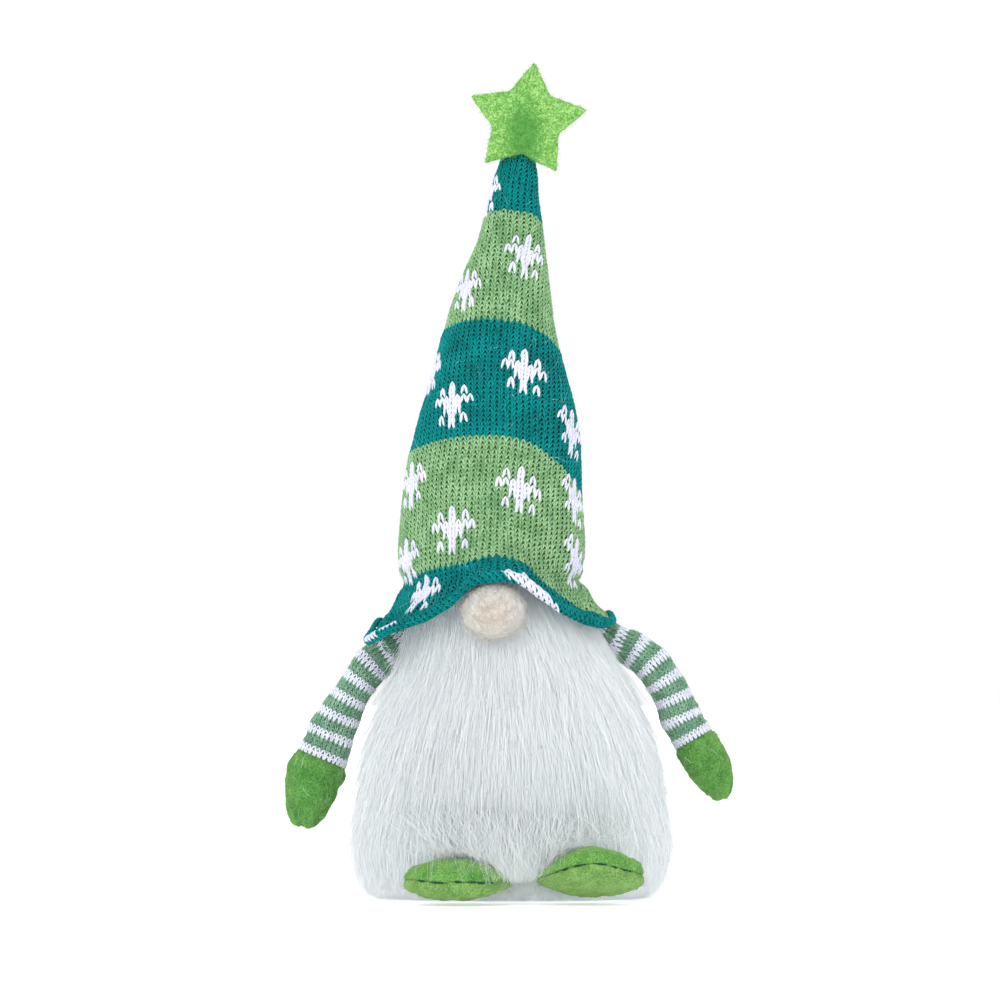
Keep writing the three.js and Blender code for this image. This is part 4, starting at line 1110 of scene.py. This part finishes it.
def wisps(foot, n, seed, u_mid, u_wide, reach):
    """Long single hairs that come down off the beard and lie over the foot."""
    r = np.random.default_rng(seed)
    u = np.clip(r.normal(u_mid, u_wide, n), -1.0, 1.0)
    x0 = u * foot["a"] + r.normal(0, 5, n)
    z0 = r.uniform(24, 46, n)
    ang = np.arcsin(np.clip((x0 + foot["x"] - 1.5) / 74, -0.95, 0.95))
    p0 = fur_outer(ang, z0)
    x2 = u * foot["a"] + r.normal(-foot["side"] * 4.5, 7.5, n)
    y2 = -foot["b"] * np.clip(r.normal(*reach, n), -0.1, 1.0)
    q = np.linspace(0, 1, 9)[None, :, None]
    p2 = foot_world(foot, np.stack([x2, y2, foot_top(foot, x2, y2)], -1))
    p1 = (p0 + p2) / 2 + np.stack([r.normal(0, 5.5, n), -3.0 + 0 * u, 3.5 + r.normal(0, 1.5, n)], -1)
    c = p0[:, None] * (1 - q) ** 2 + p1[:, None] * 2 * q * (1 - q) + p2[:, None] * q * q
    c = c + np.array([1.0, 0, 0]) * (np.sin(q * r.uniform(3, 7, (n, 1, 1)) + r.uniform(0, 6, (n, 1, 1))) * r.normal(0, 1.9, (n, 1, 1)) * q)
    x, y = c[..., 0] - foot["x"], c[..., 1] - foot["y"]
    over_it = np.hypot(x / foot["a"], y / foot["b"]) < 1
    surface = foot_world(foot, np.stack([x, y, foot_top(foot, x, y)], -1))[..., 2]
    gap = 0.45 + np.abs(r.normal(0, 0.7, (n, 1)))
    c[..., 2] = np.maximum(np.where(over_it, np.maximum(c[..., 2], surface + gap), c[..., 2]), 0.7)
    w = 0.075 * r.uniform(0.7, 1.3, (n, 1)) * (1 - 0.8 * q[..., 0] ** 2)
    return c, np.array([0, -0.5, 1.0]) + 0.3 * r.normal(size=(n, 1, 3)) + 0 * c, w


def hair(n_clumps, per, seed, z_lo, z_hi, length, inset, stray, spread=4.6, a_max=152.0, radius=0.18, clump=0.5, rings=6, out_bias=2.4, sway=1.0, low_end=3.6):
    """Locks of long pile: every strand grows out of the base, turns down and closes in on its lock's line."""
    r = np.random.default_rng(seed)
    ca = np.radians(r.uniform(-a_max, a_max, n_clumps * 3))
    cz = r.uniform(z_lo, z_hi, n_clumps * 3)
    p = fur_outer(ca, cz)
    ok = ~((np.cos(ca) < 0) & (np.abs(p[:, 0] - 1) < 31))
    # as dense per area everywhere
    ok &= r.random(len(ca)) < (at(FUR, cz)[:, 0] / 75)
    ca, cz = ca[ok][:n_clumps], cz[ok][:n_clumps]
    m = len(ca)
    tone = r.normal(0, 1, (m, 6))
    q = np.linspace(0, 1, rings)[None, :]
    ia = np.repeat(np.arange(m), per)
    n = len(ia)
    rx = at(FUR, cz)[:, 0]
    du = r.normal(0, spread, n)
    dz = r.normal(0, spread * 1.1, n)
    ln = np.clip(length * (1 + 0.12 * tone[ia, 0]) * r.uniform(0.78, 1.12, n), 16, None)
    z0 = cz[ia] + dz
    floor = 1.0 + np.abs(r.normal(0, low_end, n))
    ln = np.minimum(ln, np.maximum((z0 - floor) * 1.04, 9.0))
    fall = ln[:, None] * (0.1 * q + 0.9 * q**1.12)
    z = np.maximum(z0[:, None] - fall, 0.9)
    close = 1 - clump * q**1.15
    lateral = du[:, None] * close + (tone[ia, 1:2] * 1.7 * q**1.6 + tone[ia, 2:3] * 0.9 * np.sin(q * 3.4 + tone[ia, 3:4])) * sway + r.normal(0, 0.8, (n, 1)) * q**2
    a = ca[ia][:, None] + lateral / rx[ia][:, None]
    o = fur_outer(a, z)
    low = np.clip((30 - z) / 30, 0, 1)
    md = np.stack([body_x(z), np.full_like(z, BODY_Y), z], -1)
    od = unit((o - md) * [1, 1, 0])
    jit = r.normal(0, 1, (n, 1))
    lift = -inset * (1 - q) ** 1.7 - 3.2 + 0.95 * jit + tone[ia, 4:5] * 0.45 + out_bias
    strays = (r.random((n, 1)) < stray) * np.abs(r.normal(0, 4.5, (n, 1))) * q**1.8
    lift = lift + strays + low * (1.2 + np.abs(tone[ia, 5:6]) * 1.1) * q
    c = o + od * lift[..., None]
    for foot in (LEFT_FOOT, RIGHT_FOOT):
        c = inside_foot(foot, c, 1.04 + 0.05 * r.random((n, 1, 1)))
    c = under_hat(c)
    c[..., 2] = np.maximum(c[..., 2], 0.7)
    w = radius * r.uniform(0.7, 1.2, (n, 1)) * (1 - 0.86 * q**2.2) * np.clip(0.5 + q * 3, 0, 1)
    nn = od + 0.5 * r.normal(size=(n, 1, 3))
    return c, nn, w


def near_foot(c, foot):
    tip = c[:, -1]
    return (np.abs(tip[:, 0] - foot["x"]) < foot["a"] + 2) & (tip[:, 1] < foot["y"] + 24) & (tip[:, 2] < 34) & (c[:, :, 1].min(1) < -56)


batches = [
    hair(640, 37, 201, 98, 162, 48, 7, 0.05, radius=0.13, clump=0.24, spread=5.2),
    hair(700, 37, 202, 52, 106, 50, 7, 0.06, radius=0.13, clump=0.24, spread=5.2),
    hair(700, 35, 203, 12, 58, 42, 8, 0.16, radius=0.13, clump=0.3, sway=1.2, spread=5.0),
    hair(230, 13, 204, 14, 150, 46, 6, 0.55, spread=2.5, out_bias=3.4, clump=0.8, sway=1.9, radius=0.13),
    hair(240, 22, 206, 9, 24, 24, 5, 0.3, radius=0.12, clump=0.35, sway=1.5, low_end=1.2),
]
n_out = 0
over = {"left": [], "right": []}
for c, nn, w in batches:
    masks = {s: near_foot(c, ft) for s, ft in (("left", LEFT_FOOT), ("right", RIGHT_FOOT))}
    for s, mk in masks.items():
        over[s].append((c[mk], nn[mk], w[mk]))
    rest = ~(masks["left"] | masks["right"])
    c, nn, w = c[rest], nn[rest], w[rest]
    for part in np.array_split(np.arange(len(c)), max(1, math.ceil(len(c) * 17 / 190000))):
        v, f = tubes(c[part], np.broadcast_to(nn[part], c[part].shape), w[part], w[part], 3)
        n_out += 1
        fixed(build(f"beard_fur_{n_out}", v, f, M["fur"]), "root", "fur")
over["left"] += [wisps(LEFT_FOOT, 380, 211, 0.62, 0.32, (0.45, 0.35)), wisps(LEFT_FOOT, 210, 212, -0.2, 0.5, (0.2, 0.35))]
over["right"] += [wisps(RIGHT_FOOT, 170, 213, -0.8, 0.28, (0.35, 0.3)), wisps(RIGHT_FOOT, 90, 214, 0.1, 0.5, (0.0, 0.25))]
for s in over:
    print("over", s, sum(len(x[0]) for x in over[s]))
    v, f = join([tubes(c, np.broadcast_to(nn, c.shape), w, w, 3) for c, nn, w in over[s] if len(c)])
    if len(v):
        o = build(f"beard_fur_over_{s}_foot", v, f, M["fur"])
        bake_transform(o)


# ---------------------------------------------------------------- floor, light, camera
def plane(name, size, z, mat):
    me = bpy.data.meshes.new(name)
    s = size
    me.from_pydata([(-s, -s, z), (s, -s, z), (s, s, z), (-s, s, z)], [], [(0, 1, 2, 3)])
    o = bpy.data.objects.new(name, me)
    bpy.context.scene.collection.objects.link(o)
    me.materials.append(mat)
    return o


floor_mat = material("floor", [srgb(243, 244, 246), srgb(248, 249, 250)], (400, 60), 0.7, specular=0.2, glow=((1, 1, 1, 1), 0.45))
plane("floor", 40, -0.0002, floor_mat)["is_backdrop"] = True

scene = bpy.context.scene
scene.view_settings.view_transform = "Standard"
scene.view_settings.look = "None"
world = bpy.data.worlds.new("studio")
scene.world = world
world.use_nodes = True
bg = world.node_tree.nodes["Background"]
bg.inputs["Color"].default_value = (1.0, 1.0, 1.0, 1)
bg.inputs["Strength"].default_value = 1.01


def sun(name, direction, energy, angle, colour=(1, 1, 1)):
    d = bpy.data.lights.new(name, "SUN")
    d.energy, d.angle, d.color = energy, math.radians(angle), colour
    o = bpy.data.objects.new(name, d)
    bpy.context.scene.collection.objects.link(o)
    o.rotation_mode = "QUATERNION"
    o.rotation_quaternion = Vector(direction).to_track_quat("-Z", "Y")
    return o


sun("key", (0.3, 0.75, -0.5), 1.0, 50)
sun("fill", (-0.6, 0.7, -0.2), 0.36, 60)

cam_data = bpy.data.cameras.new("camera")
cam_data.lens, cam_data.sensor_width = 250, 36
cam_data.clip_start, cam_data.clip_end = 0.05, 100
cam = bpy.data.objects.new("camera", cam_data)
scene.collection.objects.link(cam)
scene.camera = cam
WIDTH = 0.476
dist = WIDTH * cam_data.lens / 36
target = Vector((-0.004, 0.02, 0.1902))
cam.location = Vector((-0.004, 0.02 - dist, 0.1))
cam.rotation_mode = "QUATERNION"
cam.rotation_quaternion = (target - cam.location).to_track_quat("-Z", "Y")

total = tris = 0
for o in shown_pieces():
    total += len(o.data.polygons)
    tris += len(o.data.loops) - 2 * len(o.data.polygons)
    if len(o.data.polygons) > 150000:
        print("big piece", o.name, len(o.data.polygons))
print("triangles", tris, "MB of STL", tris * 50 // 1000000)
